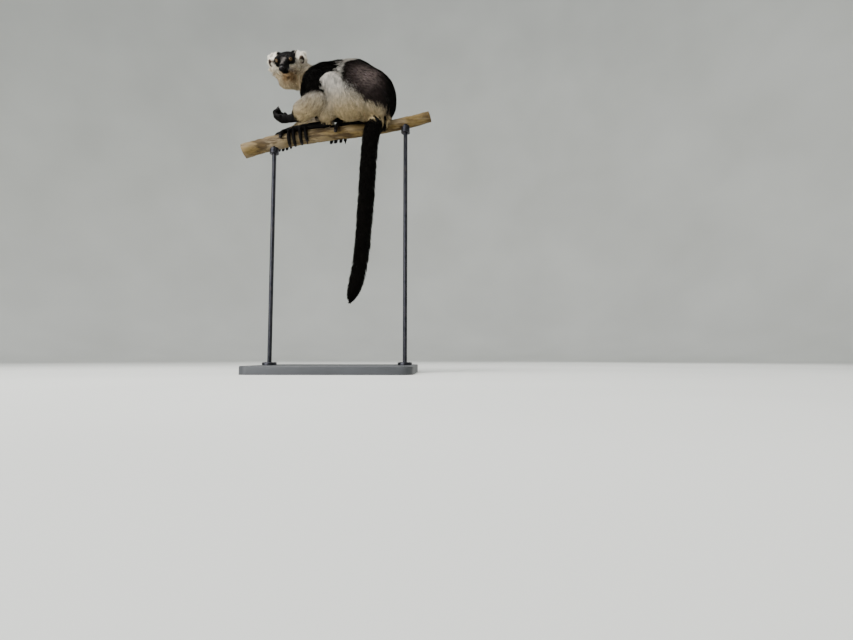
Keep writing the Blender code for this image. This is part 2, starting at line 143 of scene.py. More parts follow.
def sprayed_paint():
    """Satin paint: an even grey whose gloss wanders a little, over a fine orange peel."""
    paint = new_material("sprayed_satin_paint", PAINT_GREY, 0.5)
    cloud = grain(paint, PAINT_CLOUD, 4)
    add_node(paint, "ValToRGB", {"stops": [(0.3, "#37393C"), (0.7, "#404246")]}, {"Fac": cloud}, "Base Color")
    add_node(paint, "ValToRGB", {"stops": [(0.3, 0.44), (0.7, 0.56)]}, {"Fac": cloud}, "Roughness")
    peel = grain(paint, ORANGE_PEEL, 2)
    add_node(paint, "Bump", {}, {"Height": peel, "Distance": 0.00006, "Strength": 1.0}, "Normal")
    return paint


def board():
    """The board with its four upright corners rounded and its top edge eased."""
    low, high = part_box("stand_base")
    bm = bmesh.new()
    size = Matrix.Diagonal((*(high - low), 1))
    bmesh.ops.create_cube(bm, size=1.0, matrix=Matrix.Translation((low + high) / 2) @ size)
    corners = [edge for edge in bm.edges if abs(edge.verts[0].co.z - edge.verts[1].co.z) > 1e-3]
    bmesh.ops.bevel(bm, geom=corners, offset=BOARD_CORNER, segments=14, profile=0.5, affect="EDGES")
    top = [edge for edge in bm.edges if min(vert.co.z for vert in edge.verts) > high.z - 1e-5]
    bmesh.ops.bevel(bm, geom=top, offset=BOARD_EASE, segments=4, profile=0.5, affect="EDGES")
    piece = add_piece("base_board", bm, sprayed_paint())
    piece.data.set_sharp_from_angle(angle=math.radians(32))
    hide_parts("stand_base")


board()

# ---- Rods, flanges and collars ------------------------------------------------------------------
# Round mild-steel bar, turned flanges held by three countersunk screws and turned collars with a groove,
# all blackened in hot oil: nearly black, with a brown-blue mottle and a dull metallic gloss.
FLANGE_EDGE = ((0.0, 0.0022), (0.0006, 0.0012), (0.0016, 0.0006))     # in from its radius, down from its top
FLANGE_HUB = ((0.0088, 0.0004), (0.0080, 0.0), (0.0064, 0.0))         # radius, down from its top
COLLAR_EDGE = ((0.0010, 0.0), (0.0, 0.0010), (0.0, 0.0052), (0.0007, 0.0058), (0.0007, 0.0070),
               (0.0, 0.0076))                                         # in from its radius, up from its foot
SCREWS, SCREW_RADIUS, SCREW_CIRCLE = 3, 0.0024, 0.0145
SCREW_HEAD = ((1.0, 0.0012), (1.0, 0.0004), (0.9, 0.00005), (0.35, 0.0), (0.3, 0.0008))   # radii, depth
OXIDE_MOTTLE, TURNING_MARK = 9, 0.5     # mm; the marks are drawn coarser than real ones, to show
RECESS_FLOOR = 0.00005     # radius of the flat at the bottom of the recess for the driver


def blackened_steel():
    """Hot-oil black on steel: dark oxide, mottled, with fine turning marks in the gloss."""
    steel = new_material("blackened_steel", "#33343A", 0.4, 1.0)
    mottle = grain(steel, OXIDE_MOTTLE, 5)
    blacks = [(0.35, "#2B2C31"), (0.6, "#3B3B40"), (0.75, "#453F3B")]
    add_node(steel, "ValToRGB", {"stops": blacks}, {"Fac": mottle}, "Base Color")
    add_node(steel, "ValToRGB", {"stops": [(0.3, 0.34), (0.7, 0.52)]}, {"Fac": mottle}, "Roughness")
    marks = grain(steel, TURNING_MARK, 2, (1, 1, 0.1))
    add_node(steel, "Bump", {}, {"Height": marks, "Distance": 0.00003, "Strength": 1.0}, "Normal")
    return steel


STEEL = blackened_steel()


def turned(name, outline, x, y=0.0, sides=48):
    """A turned piece on an upright axis: the outline is (radius, height) from the bottom up."""
    bm = bmesh.new()
    rings = []
    for radius, height in outline:
        rings.append([bm.verts.new((x + radius * math.cos(2 * math.pi * k / sides),
                                    y + radius * math.sin(2 * math.pi * k / sides), height))
                      for k in range(sides)])
    for low, high in zip(rings, rings[1:]):
        for k in range(sides):
            bm.faces.new((low[k], low[(k + 1) % sides], high[(k + 1) % sides], high[k]))
    bm.faces.new(reversed(rings[0]))
    bm.faces.new(rings[-1])
    piece = add_piece(name, bm, STEEL)
    piece.data.set_sharp_from_angle(angle=math.radians(35))
    return piece


def stand_side(side):
    """One rod with the flange at its foot, the flange's screws and the collar under the perch."""
    for part in ("rod", "flange", "collar"):
        low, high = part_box(f"stand_{part}_{side}")
        x, radius = (low.x + high.x) / 2, (high.x - low.x) / 2
        if part == "rod":
            outline = [(radius, low.z), (radius, high.z)]
        elif part == "flange":
            outline = [(radius, low.z)] + [(radius - inward, high.z - down) for inward, down in FLANGE_EDGE]
            outline += [(hub, high.z - down) for hub, down in FLANGE_HUB]
        else:
            outline = [(radius - inward, low.z + up) for inward, up in COLLAR_EDGE] + [(radius, high.z)]
        piece = turned(f"steel_{part}_{side}", outline, x)
        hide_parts(f"stand_{part}_{side}")
    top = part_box(f"stand_flange_{side}")[1].z
    head = [(SCREW_RADIUS * share, top - depth) for share, depth in SCREW_HEAD]
    head.append((RECESS_FLOOR, head[-1][1]))
    for k in range(SCREWS):
        turn = 2 * math.pi * (k + 0.25) / SCREWS
        across, along = SCREW_CIRCLE * math.cos(turn), SCREW_CIRCLE * math.sin(turn)
        turned(f"screw_{side}_{k + 1}", head, x + across, along, sides=20)


for which in ("front", "rear"):
    stand_side(which)

# ---- Perch --------------------------------------------------------------------------------------
# A short length of branch with its bark on, sawn square at both ends. The bark is thin and brown, a little
# grey in patches, with long shallow cracks, ridges and the scars of four side twigs; painted shade darkens
# its cracks and hollows.
PERCH_HEIGHT, PERCH_RISE, PERCH_BEND = 0.690, 0.100, 1.10
PERCH_RADIUS, PERCH_TAPER = 0.0180, 0.010
BARK_AROUND, BARK_ALONG = 84, 340
BARK_STRETCH, BARK_SINK, BARK_RELIEF = 0.13, 0.0003, 0.0024
RIDGE_HEIGHT, RIDGE_SIZE, GRAIN_HEIGHT, GRAIN_SIZE = 0.00045, 0.016, 0.00035, 0.006
CRACK_DEPTH, CRACK_SIZE, CRACK_WIDTH, SWELL_HEIGHT, SWELL_SIZE = 0.0008, 0.011, 0.16, 0.0006, 0.06
TWIG_SCARS = ((0.196, 62, 0.0058), (-0.226, -58, 0.0062), (0.062, 150, 0.0050), (-0.196, 128, 0.0042))
FRONT_END_IN, REAR_END_IN = 0.33, 0.31     # radii: each sawn end leans with the branch, inside its box
SAWN_RINGS, YEAR_WAVES = 9, 62.0                    # rings of faces; radians of year rings, 1.8 mm apart
BARK_STREAK, BARK_PATCH, BARK_PORE = 7, 45, 2.2     # mm
WOOD_FIBRE = 0.8                                    # mm, drawn coarser than real fibres, to show


def at(x, y, height):
    """A point whose height is measured from the perch's axis at x = 0."""
    return Vector((x, y, PERCH_HEIGHT + height))


def perch_axis(x):
    """The middle of the branch: it rises to the rear, more steeply towards both ends."""
    return at(x, 0.0, PERCH_RISE * x + PERCH_BEND * x ** 3)


def perch_radius(x):
    return PERCH_RADIUS - PERCH_TAPER * x


def around_perch(x, angle, lift):
    """A point at a lift over the bark; angle 0 is the top, and +90 degrees the near side, -Y."""
    slope = PERCH_RISE + 3 * PERCH_BEND * x ** 2
    over = Vector((-slope, 0, 1)).normalized()
    turn = math.radians(angle)
    reach = perch_radius(x) + lift
    return perch_axis(x) + reach * (math.cos(turn) * over - math.sin(turn) * Vector((0, 1, 0)))


def ripple(points, size, seed, layers=3):
    """Smooth uneven noise, mostly within -1 to 1, whose largest swells are about a size apart."""
    waves = 7
    draw = np.random.default_rng(seed)
    total = np.zeros(len(points))
    for layer in range(layers):
        for _ in range(waves):
            way = draw.normal(size=3)
            way *= 2 * math.pi * 2 ** layer / (size * np.linalg.norm(way))
            total += np.sin(points @ way + draw.uniform(0, 2 * math.pi)) * 0.62 ** layer
    return total / math.sqrt(waves * 1.1)


def set_attribute(mesh, name, values, kind="FLOAT"):
    """Writes one value a vertex under a name that a material can read."""
    layer = mesh.attributes.new(name, kind, "POINT")
    key = {"FLOAT": "value", "FLOAT_COLOR": "color", "FLOAT_VECTOR": "vector"}[kind]
    layer.data.foreach_set(key, np.ascontiguousarray(values, np.float32).ravel())


def branch_bark():
    """Dry bark: brown, greyer in patches, matt all over, with painted shade darkening its cracks and hollows
    so that the ridges stand lighter.
    """
    bark = new_material("dry_branch_bark", "#84735A", 0.86, more={"Specular IOR Level": 0.3})
    streak = grain(bark, BARK_STREAK, 6, (0.22, 1, 1), 0.62)
    browns = [(0.28, "#4C3D1E"), (0.45, "#5F4D29"), (0.60, "#6F5B33"), (0.76, "#856F43")]
    tone = add_node(bark, "ValToRGB", {"stops": browns}, {"Fac": streak})
    patch = grain(bark, BARK_PATCH, 3, (0.5, 1, 1))
    grey = add_node(bark, "ValToRGB", {"stops": [(0.45, 0.0), (0.72, 0.35)]}, {"Fac": patch})
    mixed = add_node(bark, "Mix", {"data_type": "RGBA"}, {"Factor": grey, "A": tone, "B": linear("#9A9082")})
    # Painted shade: the lower the bark's relief, the darker its colour, so cracks and hollows read dark.
    height = add_node(bark, "Attribute", {"attribute_name": "bark_height"}, {})
    hollow_shade = [(0.20, "#8E8068"), (0.60, "#FFFFFF")]
    low = add_node(bark, "ValToRGB", {"stops": hollow_shade}, {"Fac": (height, "Fac")})
    add_node(bark, "Mix", {"data_type": "RGBA", "blend_type": "MULTIPLY"},
             {"Factor": 0.85, "A": mixed, "B": low}, "Base Color")
    pores = grain(bark, BARK_PORE, 5, (0.3, 1, 1), 0.65)
    add_node(bark, "Bump", {}, {"Height": pores, "Distance": 0.0006, "Strength": 1.0}, "Normal")
    return bark


def sawn_wood():
    """End grain: pale wood with thin darker year rings round the pith and a brown rim under the bark."""
    wood = new_material("sawn_end_grain", "#C3A677", 0.78)
    ring = add_node(wood, "Attribute", {"attribute_name": "ring"}, {})
    turn = add_node(wood, "Math", {"operation": "MULTIPLY"}, {0: (ring, "Fac"), 1: YEAR_WAVES})
    wave = add_node(wood, "Math", {"operation": "SINE"}, {0: turn})
    woods = [(0.0, "#C9AE80"), (0.75, "#BFA070"), (1.0, "#9C7B4E")]
    years = add_node(wood, "ValToRGB", {"stops": woods}, {"Fac": wave})
    rims = [(0.0, "#8A6B45"), (0.07, "#FFFFFF"), (0.86, "#FFFFFF"), (0.93, "#6E5338")]
    rim = add_node(wood, "ValToRGB", {"stops": rims}, {"Fac": (ring, "Fac")})
    add_node(wood, "Mix", {"data_type": "RGBA", "blend_type": "MULTIPLY"},
             {"Factor": 1.0, "A": years, "B": rim}, "Base Color")
    fibres = grain(wood, WOOD_FIBRE, 3, (1, 1, 3))
    add_node(wood, "Bump", {}, {"Height": fibres, "Distance": 0.0002, "Strength": 1.0}, "Normal")
    return wood


def bark_height(bed):
    """Relief of the bark over its bed: ridges and grain along the branch, cracks, swells and twig scars."""
    along = bed * (BARK_STRETCH, 1, 1)
    height = RIDGE_HEIGHT * ripple(along, RIDGE_SIZE, 5) + GRAIN_HEIGHT * ripple(along, GRAIN_SIZE, 6)
    crack = np.abs(ripple(along * (1.4, 1, 1), CRACK_SIZE, 7))
    height -= CRACK_DEPTH * np.clip(1 - crack / CRACK_WIDTH, 0, 1)
    height += SWELL_HEIGHT * ripple(bed, SWELL_SIZE, 8, 2)
    for x, angle, size in TWIG_SCARS:
        away = np.linalg.norm(bed - tuple(around_perch(x, angle, 0.0)), axis=1) / size
        height += size * 0.55 * np.exp(-away ** 2 * 1.1) - size * 0.42 * np.exp(-(away / 0.42) ** 2)
    return height


def perch():
    """Bark as one sleeve of rings, and each sawn end as rings that shrink to its pith."""
    low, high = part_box("perch_branch")
    front = low.x + perch_radius(low.x) * FRONT_END_IN
    rear = high.x - perch_radius(high.x) * REAR_END_IN
    xs = np.linspace(front, rear, BARK_ALONG).tolist()
    angles = [360 * k / BARK_AROUND for k in range(BARK_AROUND)]
    bed = np.array([[around_perch(x, angle, 0.0) for angle in angles] for x in xs])
    axis = np.array([perch_axis(x) for x in xs])[:, None, :]
    height = bark_height(bed.reshape(-1, 3)).reshape(len(xs), BARK_AROUND, 1)
    out = bed - axis
    out /= np.linalg.norm(out, axis=2, keepdims=True)
    sleeve = bed + out * (height - BARK_SINK)
    shares = np.linspace(1.0, 0.0, SAWN_RINGS + 1)[1:-1]
    ends = [[axis[end] + (sleeve[end] - axis[end]) * share for share in shares] for end in (0, -1)]
    bm = bmesh.new()
    rings = [[bm.verts.new(place) for place in ring] for ring in (*sleeve, *ends[0], *ends[1])]

    def strip(a, b, slot):
        for k in range(BARK_AROUND):
            after = (k + 1) % BARK_AROUND
            bm.faces.new((a[k], a[after], b[after], b[k])).material_index = slot
    for a, b in zip(rings[:len(xs)], rings[1:len(xs)]):
        strip(a, b, 0)
    front_end = [rings[0]] + rings[len(xs):len(xs) + len(shares)]
    rear_end = [rings[len(xs) - 1]] + rings[len(xs) + len(shares):]
    for a, b in zip(front_end, front_end[1:]):
        strip(b, a, 1)
    for a, b in zip(rear_end, rear_end[1:]):
        strip(a, b, 1)
    for pith in (front_end[-1], list(reversed(rear_end[-1]))):
        bm.faces.new(pith).material_index = 1
    bmesh.ops.recalc_face_normals(bm, faces=bm.faces)
    mesh = mesh_from(bm, "perch_branch_bark")
    relief = np.full(len(mesh.vertices), 0.5)
    relief[:height.size] = np.clip(0.5 + height.ravel() / BARK_RELIEF, 0, 1)
    set_attribute(mesh, "bark_height", relief)
    marks = [np.ones(BARK_AROUND)] * len(xs) + [np.full(BARK_AROUND, share) for share in (*shares, *shares)]
    set_attribute(mesh, "ring", np.concatenate(marks))
    piece = add_piece("perch_branch_bark", mesh, branch_bark(), sawn_wood())
    mesh.set_sharp_from_angle(angle=math.radians(55))
    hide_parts("perch_branch")


perch()

# ---- Skin of the trunk, limbs and tail ----------------------------------------------------------
# One hide from neck to tail tip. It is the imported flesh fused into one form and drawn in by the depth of
# the coat: about a centimetre on the trunk, half the tail's thickness, and next to nothing at the wrists.
def kind_of(name):
    """A flesh node's name without its side, and one kind for all the lengths of the tail."""
    return "tail" if name.startswith("tail") else name.replace("_left", "").replace("_right", "")


COAT_DEPTH = {"rump": 0.0100, "loin": 0.0095, "chest": 0.0100, "neck": 0.0110, "thigh": 0.0090,
              "shin": 0.0080, "upper_arm": 0.0085, "forearm": 0.0078, "tail": 0.0125, "ruff": 0.0135}
BARE_DEPTH, CUFF_DEPTH, CUFF_SLOPE = 0.002, 0.0012, 0.17
TIP_LENGTH, TIP_DEPTH, TIP_SLOPE = 0.09, 0.0045, 0.09      # the coat thins towards the tip of the tail
BODY_NODES = [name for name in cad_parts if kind_of(name) in COAT_DEPTH]
HAND_NODES = ["hand_left", "hand_right", "foot_left", "foot_right"]
HEAD_NODES = ["head", "lower_jaw", "ear_left", "ear_right", "nose"]
BODY_VOXEL, BODY_SMOOTHING, DRAW_IN_STEPS = 0.0024, 10, 5
OVERLAP, SAMPLE_PITCH = 0.0005, 0.004


def joined(names):
    """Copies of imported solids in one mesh, each grown a little so that neighbours overlap."""
    whole = bmesh.new()
    for name in names:
        part = bmesh.new()
        part.from_mesh(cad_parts[name].data)
        bmesh.ops.remove_doubles(part, verts=part.verts, dist=1e-6)
        part.normal_update()
        for vert in part.verts:
            vert.co += vert.normal * OVERLAP
        take_in(whole, part)
    return mesh_from(whole, "joined")


def take_in(whole, part):
    """Adds a bmesh to another and frees it."""
    spare = mesh_from(part, "spare")
    whole.from_mesh(spare)
    bpy.data.meshes.remove(spare)


def modified(mesh, *modifiers):
    """The mesh after modifiers, each given as (kind, settings)."""
    holder = bpy.data.objects.new("holder", mesh)
    bpy.context.scene.collection.objects.link(holder)
    for kind, settings in modifiers:
        modifier = holder.modifiers.new(kind.lower(), kind)
        for key, value in settings.items():
            setattr(modifier, key, value)
    graph = bpy.context.evaluated_depsgraph_get()
    result = bpy.data.meshes.new_from_object(holder.evaluated_get(graph))
    bpy.data.objects.remove(holder, do_unlink=True)
    return result


def fused(mesh, voxel, smoothing):
    """Overlapping solids as one closed form, evened out."""
    return modified(mesh, ("REMESH", {"mode": "VOXEL", "voxel_size": voxel}),
                    ("SMOOTH", {"iterations": smoothing, "factor": 0.5}))


def numbers(layer, key, width=3):
    """A mesh layer's numbers as an array with so many to a row."""
    values = np.empty(len(layer) * width, np.float32)
    layer.foreach_get(key, values)
    return values.reshape(-1, width).astype(float)


def points_of(mesh):
    return numbers(mesh.vertices, "co")


def move_points(mesh, points):
    mesh.vertices.foreach_set("co", points.astype(np.float32).ravel())
    mesh.update()


def normals_of(mesh):
    return numbers(mesh.vertex_normals, "vector")


def edges_of(mesh):
    ends = np.empty(len(mesh.edges) * 2, np.int32)
    mesh.edges.foreach_get("vertices", ends)
    return ends.reshape(-1, 2)


def spread(values, edges, rounds, hold=None):
    """Evens values out over the mesh by averaging along its edges, except where hold is 1."""
    values = values.reshape(len(values), -1).astype(float)
    both_ways = np.concatenate([edges, edges[:, ::-1]])
    count = np.maximum(np.bincount(both_ways[:, 0], minlength=len(values)), 1)[:, None]
    keep = 0.0 if hold is None else hold[:, None]
    for _ in range(rounds):
        near = np.stack([np.bincount(both_ways[:, 0], column[both_ways[:, 1]], len(values))
                         for column in values.T], 1) / count
        values = values * (0.5 + 0.5 * keep) + near * (0.5 - 0.5 * keep)
    return values


def unit(vectors):
    return vectors / np.maximum(np.linalg.norm(vectors, axis=-1, keepdims=True), 1e-9)


def areas_of(corners):
    """The area of each triangle, given its three corners."""
    sides = np.cross(corners[:, 1] - corners[:, 0], corners[:, 2] - corners[:, 0])
    return 0.5 * np.linalg.norm(sides, axis=1)


def samples_of(name):
    """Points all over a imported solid, about SAMPLE_PITCH apart."""
    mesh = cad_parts[name].data
    mesh.calc_loop_triangles()
    corners = points_of(mesh)[[list(t.vertices) for t in mesh.loop_triangles]]
    area = areas_of(corners)
    count = max(60, int(area.sum() / SAMPLE_PITCH ** 2))
    draw = np.random.default_rng(3)
    pick = draw.choice(len(area), count, p=area / area.sum())
    a, b = draw.random((2, count, 1))
    flip = a + b > 1
    a, b = np.where(flip, 1 - a, a), np.where(flip, 1 - b, b)
    face = corners[pick]
    return face[:, 0] + a * (face[:, 1] - face[:, 0]) + b * (face[:, 2] - face[:, 0])


def tree_of(points):
    """A tree that finds the nearest of the points."""
    tree = kdtree.KDTree(len(points))
    for k, point in enumerate(points):
        tree.insert(point, k)
    tree.balance()
    return tree


def nearest(tree, points):
    """The nearest entry and its distance for each point."""
    found = [tree.find(point)[1:] for point in points]
    return np.array([index for index, _ in found]), np.array([gap for _, gap in found])


FLESH = BODY_NODES + HEAD_NODES + HAND_NODES
SAMPLES = {name: samples_of(name) for name in FLESH}
NODE_TREE = tree_of(np.concatenate(list(SAMPLES.values())))
NODE_INDEX = np.repeat(np.arange(len(FLESH)), [len(SAMPLES[name]) for name in FLESH])
HAND_TREE = tree_of(np.concatenate([SAMPLES[name] for name in HAND_NODES]))


def region_of(points):
    """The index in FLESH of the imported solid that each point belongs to."""
    return NODE_INDEX[nearest(NODE_TREE, points)[0]]


def body_skin():
    """The fused flesh, drawn in by the depth of the coat in small steps that keep it smooth."""
    mesh = fused(joined(BODY_NODES), BODY_VOXEL, BODY_SMOOTHING)
    edges = edges_of(mesh)
    points = points_of(mesh)
    depth_by_node = np.array([COAT_DEPTH.get(kind_of(name), BARE_DEPTH) for name in FLESH])
    depth = depth_by_node[region_of(points)]
    depth = np.minimum(depth, CUFF_DEPTH + CUFF_SLOPE * nearest(HAND_TREE, points)[1])
    over_tip = points[:, 2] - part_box("tail_5")[0].z
    depth = np.minimum(depth, np.where(over_tip < TIP_LENGTH, TIP_DEPTH + TIP_SLOPE * over_tip, 1.0))
    depth = spread(depth, edges, 8)
    for _ in range(DRAW_IN_STEPS):
        points = points_of(mesh) - normals_of(mesh) * depth / DRAW_IN_STEPS
        move_points(mesh, spread(points, edges, 1))
    return fused(mesh, BODY_VOXEL, 4)


BODY_SKIN = body_skin()

# ---- Skin of the head ---------------------------------------------------------------------------
# A long dog-like muzzle, big round eyes behind thick dark lids, flat cheekbones and short cupped ears.
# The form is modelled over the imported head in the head's own frame: to its left, forward and up.
EYES_AT = (-0.1478, -0.065, 0.1825)
HEAD_TURN, HEAD_TILT, HEAD_ROLL = 93.0, -39.0, 6.5
EAR_SIDE, EAR_BACK, EAR_LEAN = 0.0432, 0.0300, 32.0
EAR_CUP_OUT, EAR_CUP_AHEAD, EAR_CUP_UP, EAR_CUP_RADII = 0.0032, 0.0068, -0.0068, (0.0080, 0.0066, 0.0106)
EYE_SIDE, EYE_BACK, EYE_RADIUS = 0.0182, 0.0055, 0.0076
EYE_OUTWARD, LID_THICK = 19.0, 0.0011
HEAD_VOXEL = 0.0009


def head_frame():
    """The head's own axes (left, forward, up), with its origin midway between the eyes."""
    turn, tilt = math.radians(HEAD_TURN), math.radians(HEAD_TILT)
    level = Vector((-math.cos(turn), -math.sin(turn), 0))
    forward = level * math.cos(tilt) + Vector((0, 0, math.sin(tilt)))
    left = Vector((0, 0, 1)).cross(level)
    up = forward.cross(left)
    roll = Matrix.Rotation(math.radians(HEAD_ROLL), 3, forward)
    left, up = roll @ left, roll @ up
    placed = Matrix((left, forward, up)).transposed().to_4x4()
    placed.translation = at(*EYES_AT)
    return placed


HEAD = head_frame()
HEAD_AXES = np.array(HEAD.to_3x3())
HEAD_ORIGIN = np.array(HEAD.translation)


def on_head(left, forward, up):
    return HEAD @ Vector((left, forward, up))


def in_head(points):
    """World points as (left, forward, up) of the head."""
    return (points - HEAD_ORIGIN) @ HEAD_AXES


def ball(centre, radii, turned_by=None):
    """An ellipsoid's placing matrix; a mirrored frame is turned back so that it isn't inside out."""
    if isinstance(radii, (int, float)):
        radii = (radii,) * 3
    axes = turned_by.to_3x3() if turned_by else Matrix.Identity(3)
    if axes.determinant() < 0:
        axes.col[0] = -axes.col[0]
    return Matrix.Translation(centre) @ axes.to_4x4() @ Matrix.Diagonal((*radii, 1.0))


def head_ball(left, forward, up, radii, turned_by=HEAD):
    return ball(on_head(left, forward, up), radii, turned_by)


def both(left, forward, up, radii):
    """The same ball on each side of the head."""
    return [head_ball(left, forward, up, radii), head_ball(-left, forward, up, radii)]


def strand(*stations):
    """A chain of balls through (point, radius) stations, on a smooth line."""
    flat = np.array([(*point, radius) for point, radius in stations])
    length = np.linalg.norm(np.diff(flat[:, :3], axis=0), axis=1).sum()
    count = max(4, math.ceil(length / (0.35 * flat[:, 3].min())))
    last = len(flat) - 1
    chain = []
    for k in range(count + 1):
        place = min(k / count * last, last - 1e-9)
        i, step = int(place), place - int(place)
        a, b, c, d = (flat[min(max(i + j, 0), last)] for j in (-1, 0, 1, 2))
        x, y, z, radius = 0.5 * (2 * b + (c - a) * step + (2 * a - 5 * b + 4 * c - d) * step ** 2
                                 + (3 * b - a - 3 * c + d) * step ** 3)
        chain.append(ball(Vector((x, y, z)), float(radius)))
    return chain


def ball_mesh(balls, detail=3):
    bm = bmesh.new()
    for place in balls:
        bmesh.ops.create_icosphere(bm, subdivisions=detail, radius=1.0, matrix=place)
    return mesh_from(bm, "balls")


def combined(mesh, other, operation):
    """A Boolean of two closed meshes."""
    tool = bpy.data.objects.new("tool", other)
    bpy.context.scene.collection.objects.link(tool)
    result = modified(mesh, ("BOOLEAN", {"operation": operation, "solver": "MANIFOLD", "object": tool}))
    bpy.data.objects.remove(tool, do_unlink=True)
    return result


def eye_axis(side):
    """Which way an eye looks; side is +1 for the left one."""
    out = math.radians(EYE_OUTWARD)
    return (HEAD.to_3x3() @ Vector((side * math.sin(out), math.cos(out), 0.06))).normalized()


def eye_centre(side):
    return on_head(side * EYE_SIDE, -EYE_BACK, 0.0)


def eye_frame(side):
    """Axes of an eye: across (towards the ear), along its gaze, and up."""
    gaze = eye_axis(side)
    up = (HEAD.to_3x3() @ Vector((0, 0, 1)))
    across = gaze.cross(up).normalized()
    if across.dot(HEAD.to_3x3() @ Vector((side, 0, 0))) < 0:
        across = -across
    up = (up - gaze * up.dot(gaze)).normalized()
    return Matrix((across, gaze, up)).transposed().to_4x4()


def ear_frame(side):
    """The head's axes turned so that an ear opens outwards and forwards."""
    return HEAD @ Matrix.Rotation(math.radians(-side * EAR_LEAN), 4, "Z")


def ear_cup_at(side):
    return on_head(side * (EAR_SIDE + EAR_CUP_OUT), EAR_CUP_AHEAD - EAR_BACK, EAR_CUP_UP)


def head_balls():
    """Skull, cheeks, muzzle and jaws as overlapping balls, each at (left, forward, up) with its radii."""
    balls = [head_ball(0, -0.0430, -0.0120, (0.0305, 0.0370, 0.0255)),     # braincase
             head_ball(0, -0.0200, -0.0080, (0.0235, 0.0240, 0.0185)),     # forehead
             head_ball(0, -0.0600, -0.0300, (0.0250, 0.0220, 0.0230)),     # nape
             head_ball(0, -0.0720, -0.0460, (0.0200, 0.0200, 0.0190)),     # neck
             head_ball(0, -0.0480, -0.0420, (0.0250, 0.0270, 0.0230))]     # throat
    balls += both(0.0165, -0.0088, -0.0006, (0.0123, 0.0108, 0.0116))      # round the eyes
    balls += both(0.0130, -0.0105, 0.0062, (0.0096, 0.0070, 0.0042))       # brows
    balls += both(0.0175, -0.0250, -0.0160, (0.0125, 0.0195, 0.0115))      # cheekbones
    balls += both(0.0215, -0.0380, -0.0230, (0.0110, 0.0170, 0.0135))      # jaw muscles
    balls += both(0.0330, -0.0350, -0.0100, (0.0110, 0.0100, 0.0095))      # roots of the ears
    balls += both(0.0100, -0.0220, -0.0285, (0.0065, 0.0180, 0.0066))      # arms of the lower jaw
    for side in (1, -1):
        upper_lip = ((0.0088, -0.004, -0.0140, 0.0086), (0.0066, 0.008, -0.0165, 0.0076),
                     (0.0052, 0.022, -0.0180, 0.0068), (0.0044, 0.033, -0.0188, 0.0061),
                     (0.0032, 0.0400, -0.0188, 0.0052))
        balls += strand(*[(on_head(side * left, forward, up), radius)
                          for left, forward, up, radius in upper_lip])
        balls.append(ball(eye_centre(side), EYE_RADIUS + LID_THICK))
        balls.append(head_ball(side * EAR_SIDE, -EAR_BACK - 0.0004, -0.006, (0.0106, 0.0066, 0.0136),
                               ear_frame(side)))
    balls += strand((on_head(0, -0.012, -0.0090), 0.0145), (on_head(0, 0.004, -0.0108), 0.0116),
                    (on_head(0, 0.018, -0.0128), 0.0096), (on_head(0, 0.031, -0.0150), 0.0082),
                    (on_head(0, 0.0405, -0.0172), 0.0062))                 # bridge of the muzzle
    balls += strand((on_head(0, -0.014, -0.0280), 0.0092), (on_head(0, 0.012, -0.0266), 0.0066),
                    (on_head(0, 0.030, -0.0260), 0.0048))                  # chin
    return balls


def head_skin():
    """The fused head, hollowed at the ears and the sockets, with the lids cut open to almonds."""
    mesh = fused(ball_mesh(head_balls()), HEAD_VOXEL, 6)
    for side in (1, -1):
        lean, axes = ear_frame(side), eye_frame(side)
        canal = on_head(side * (EAR_SIDE - 0.0010), 0.0010 - EAR_BACK, -0.0100)
        cup = [ball(ear_cup_at(side), EAR_CUP_RADII, lean), ball(canal, (0.0045, 0.0050, 0.0048), lean)]
        mesh = combined(mesh, fused(ball_mesh(cup), 0.0007, 3), "DIFFERENCE")
        socket = ball_mesh([ball(eye_centre(side), EYE_RADIUS + 0.0001)], 4)
        mesh = combined(mesh, socket, "DIFFERENCE")
        front = eye_centre(side) + eye_axis(side) * EYE_RADIUS
        inner = front - axes.to_3x3().col[0] * 0.0050 - axes.to_3x3().col[2] * 0.0018
        opening = [ball(front, (0.0060, 0.0054, 0.0053), axes), ball(inner, (0.0032, 0.0042, 0.0015), axes)]
        mesh = combined(mesh, fused(ball_mesh(opening), 0.0005, 2), "DIFFERENCE")
    return mesh


HEAD_SKIN = head_skin()
LIP_LINE = ((-0.006, -0.0215), (0.012, -0.0232), (0.028, -0.0240), (0.0415, -0.0236))     # forward, up
LIP_DEPTH, LID_FOLD, BROW_DIP = 0.0016, 0.0006, 0.0012


def between(table, value):
    """The second column of a table, read at values of its first."""
    return np.interp(value, [row[0] for row in table], [row[1] for row in table])


def crease(mesh):
    """Presses in the lip line, the folds round the eyes and the dip between brow and muzzle."""
    points, normals = points_of(mesh), normals_of(mesh)
    left, forward, up = in_head(points).T
    reach = np.clip((forward + 0.006) / 0.006, 0, 1) * np.clip((0.0440 - forward) / 0.003, 0, 1)
    lip = np.exp(-((up - between(LIP_LINE, forward)) / 0.0009) ** 2) * reach
    points -= normals * (LIP_DEPTH * lip)[:, None]
    for side in (1, -1):
        away = np.linalg.norm(points - np.array(eye_centre(side)), axis=1) - EYE_RADIUS
        fold = np.exp(-((away - 0.0034) / 0.0008) ** 2)
        points -= normals * (LID_FOLD * fold)[:, None]
    stop = np.exp(-(left / 0.007) ** 2 - ((forward - 0.002) / 0.006) ** 2) * (up > -0.008)
    points -= normals * (BROW_DIP * stop)[:, None]
    move_points(mesh, points)


crease(HEAD_SKIN)

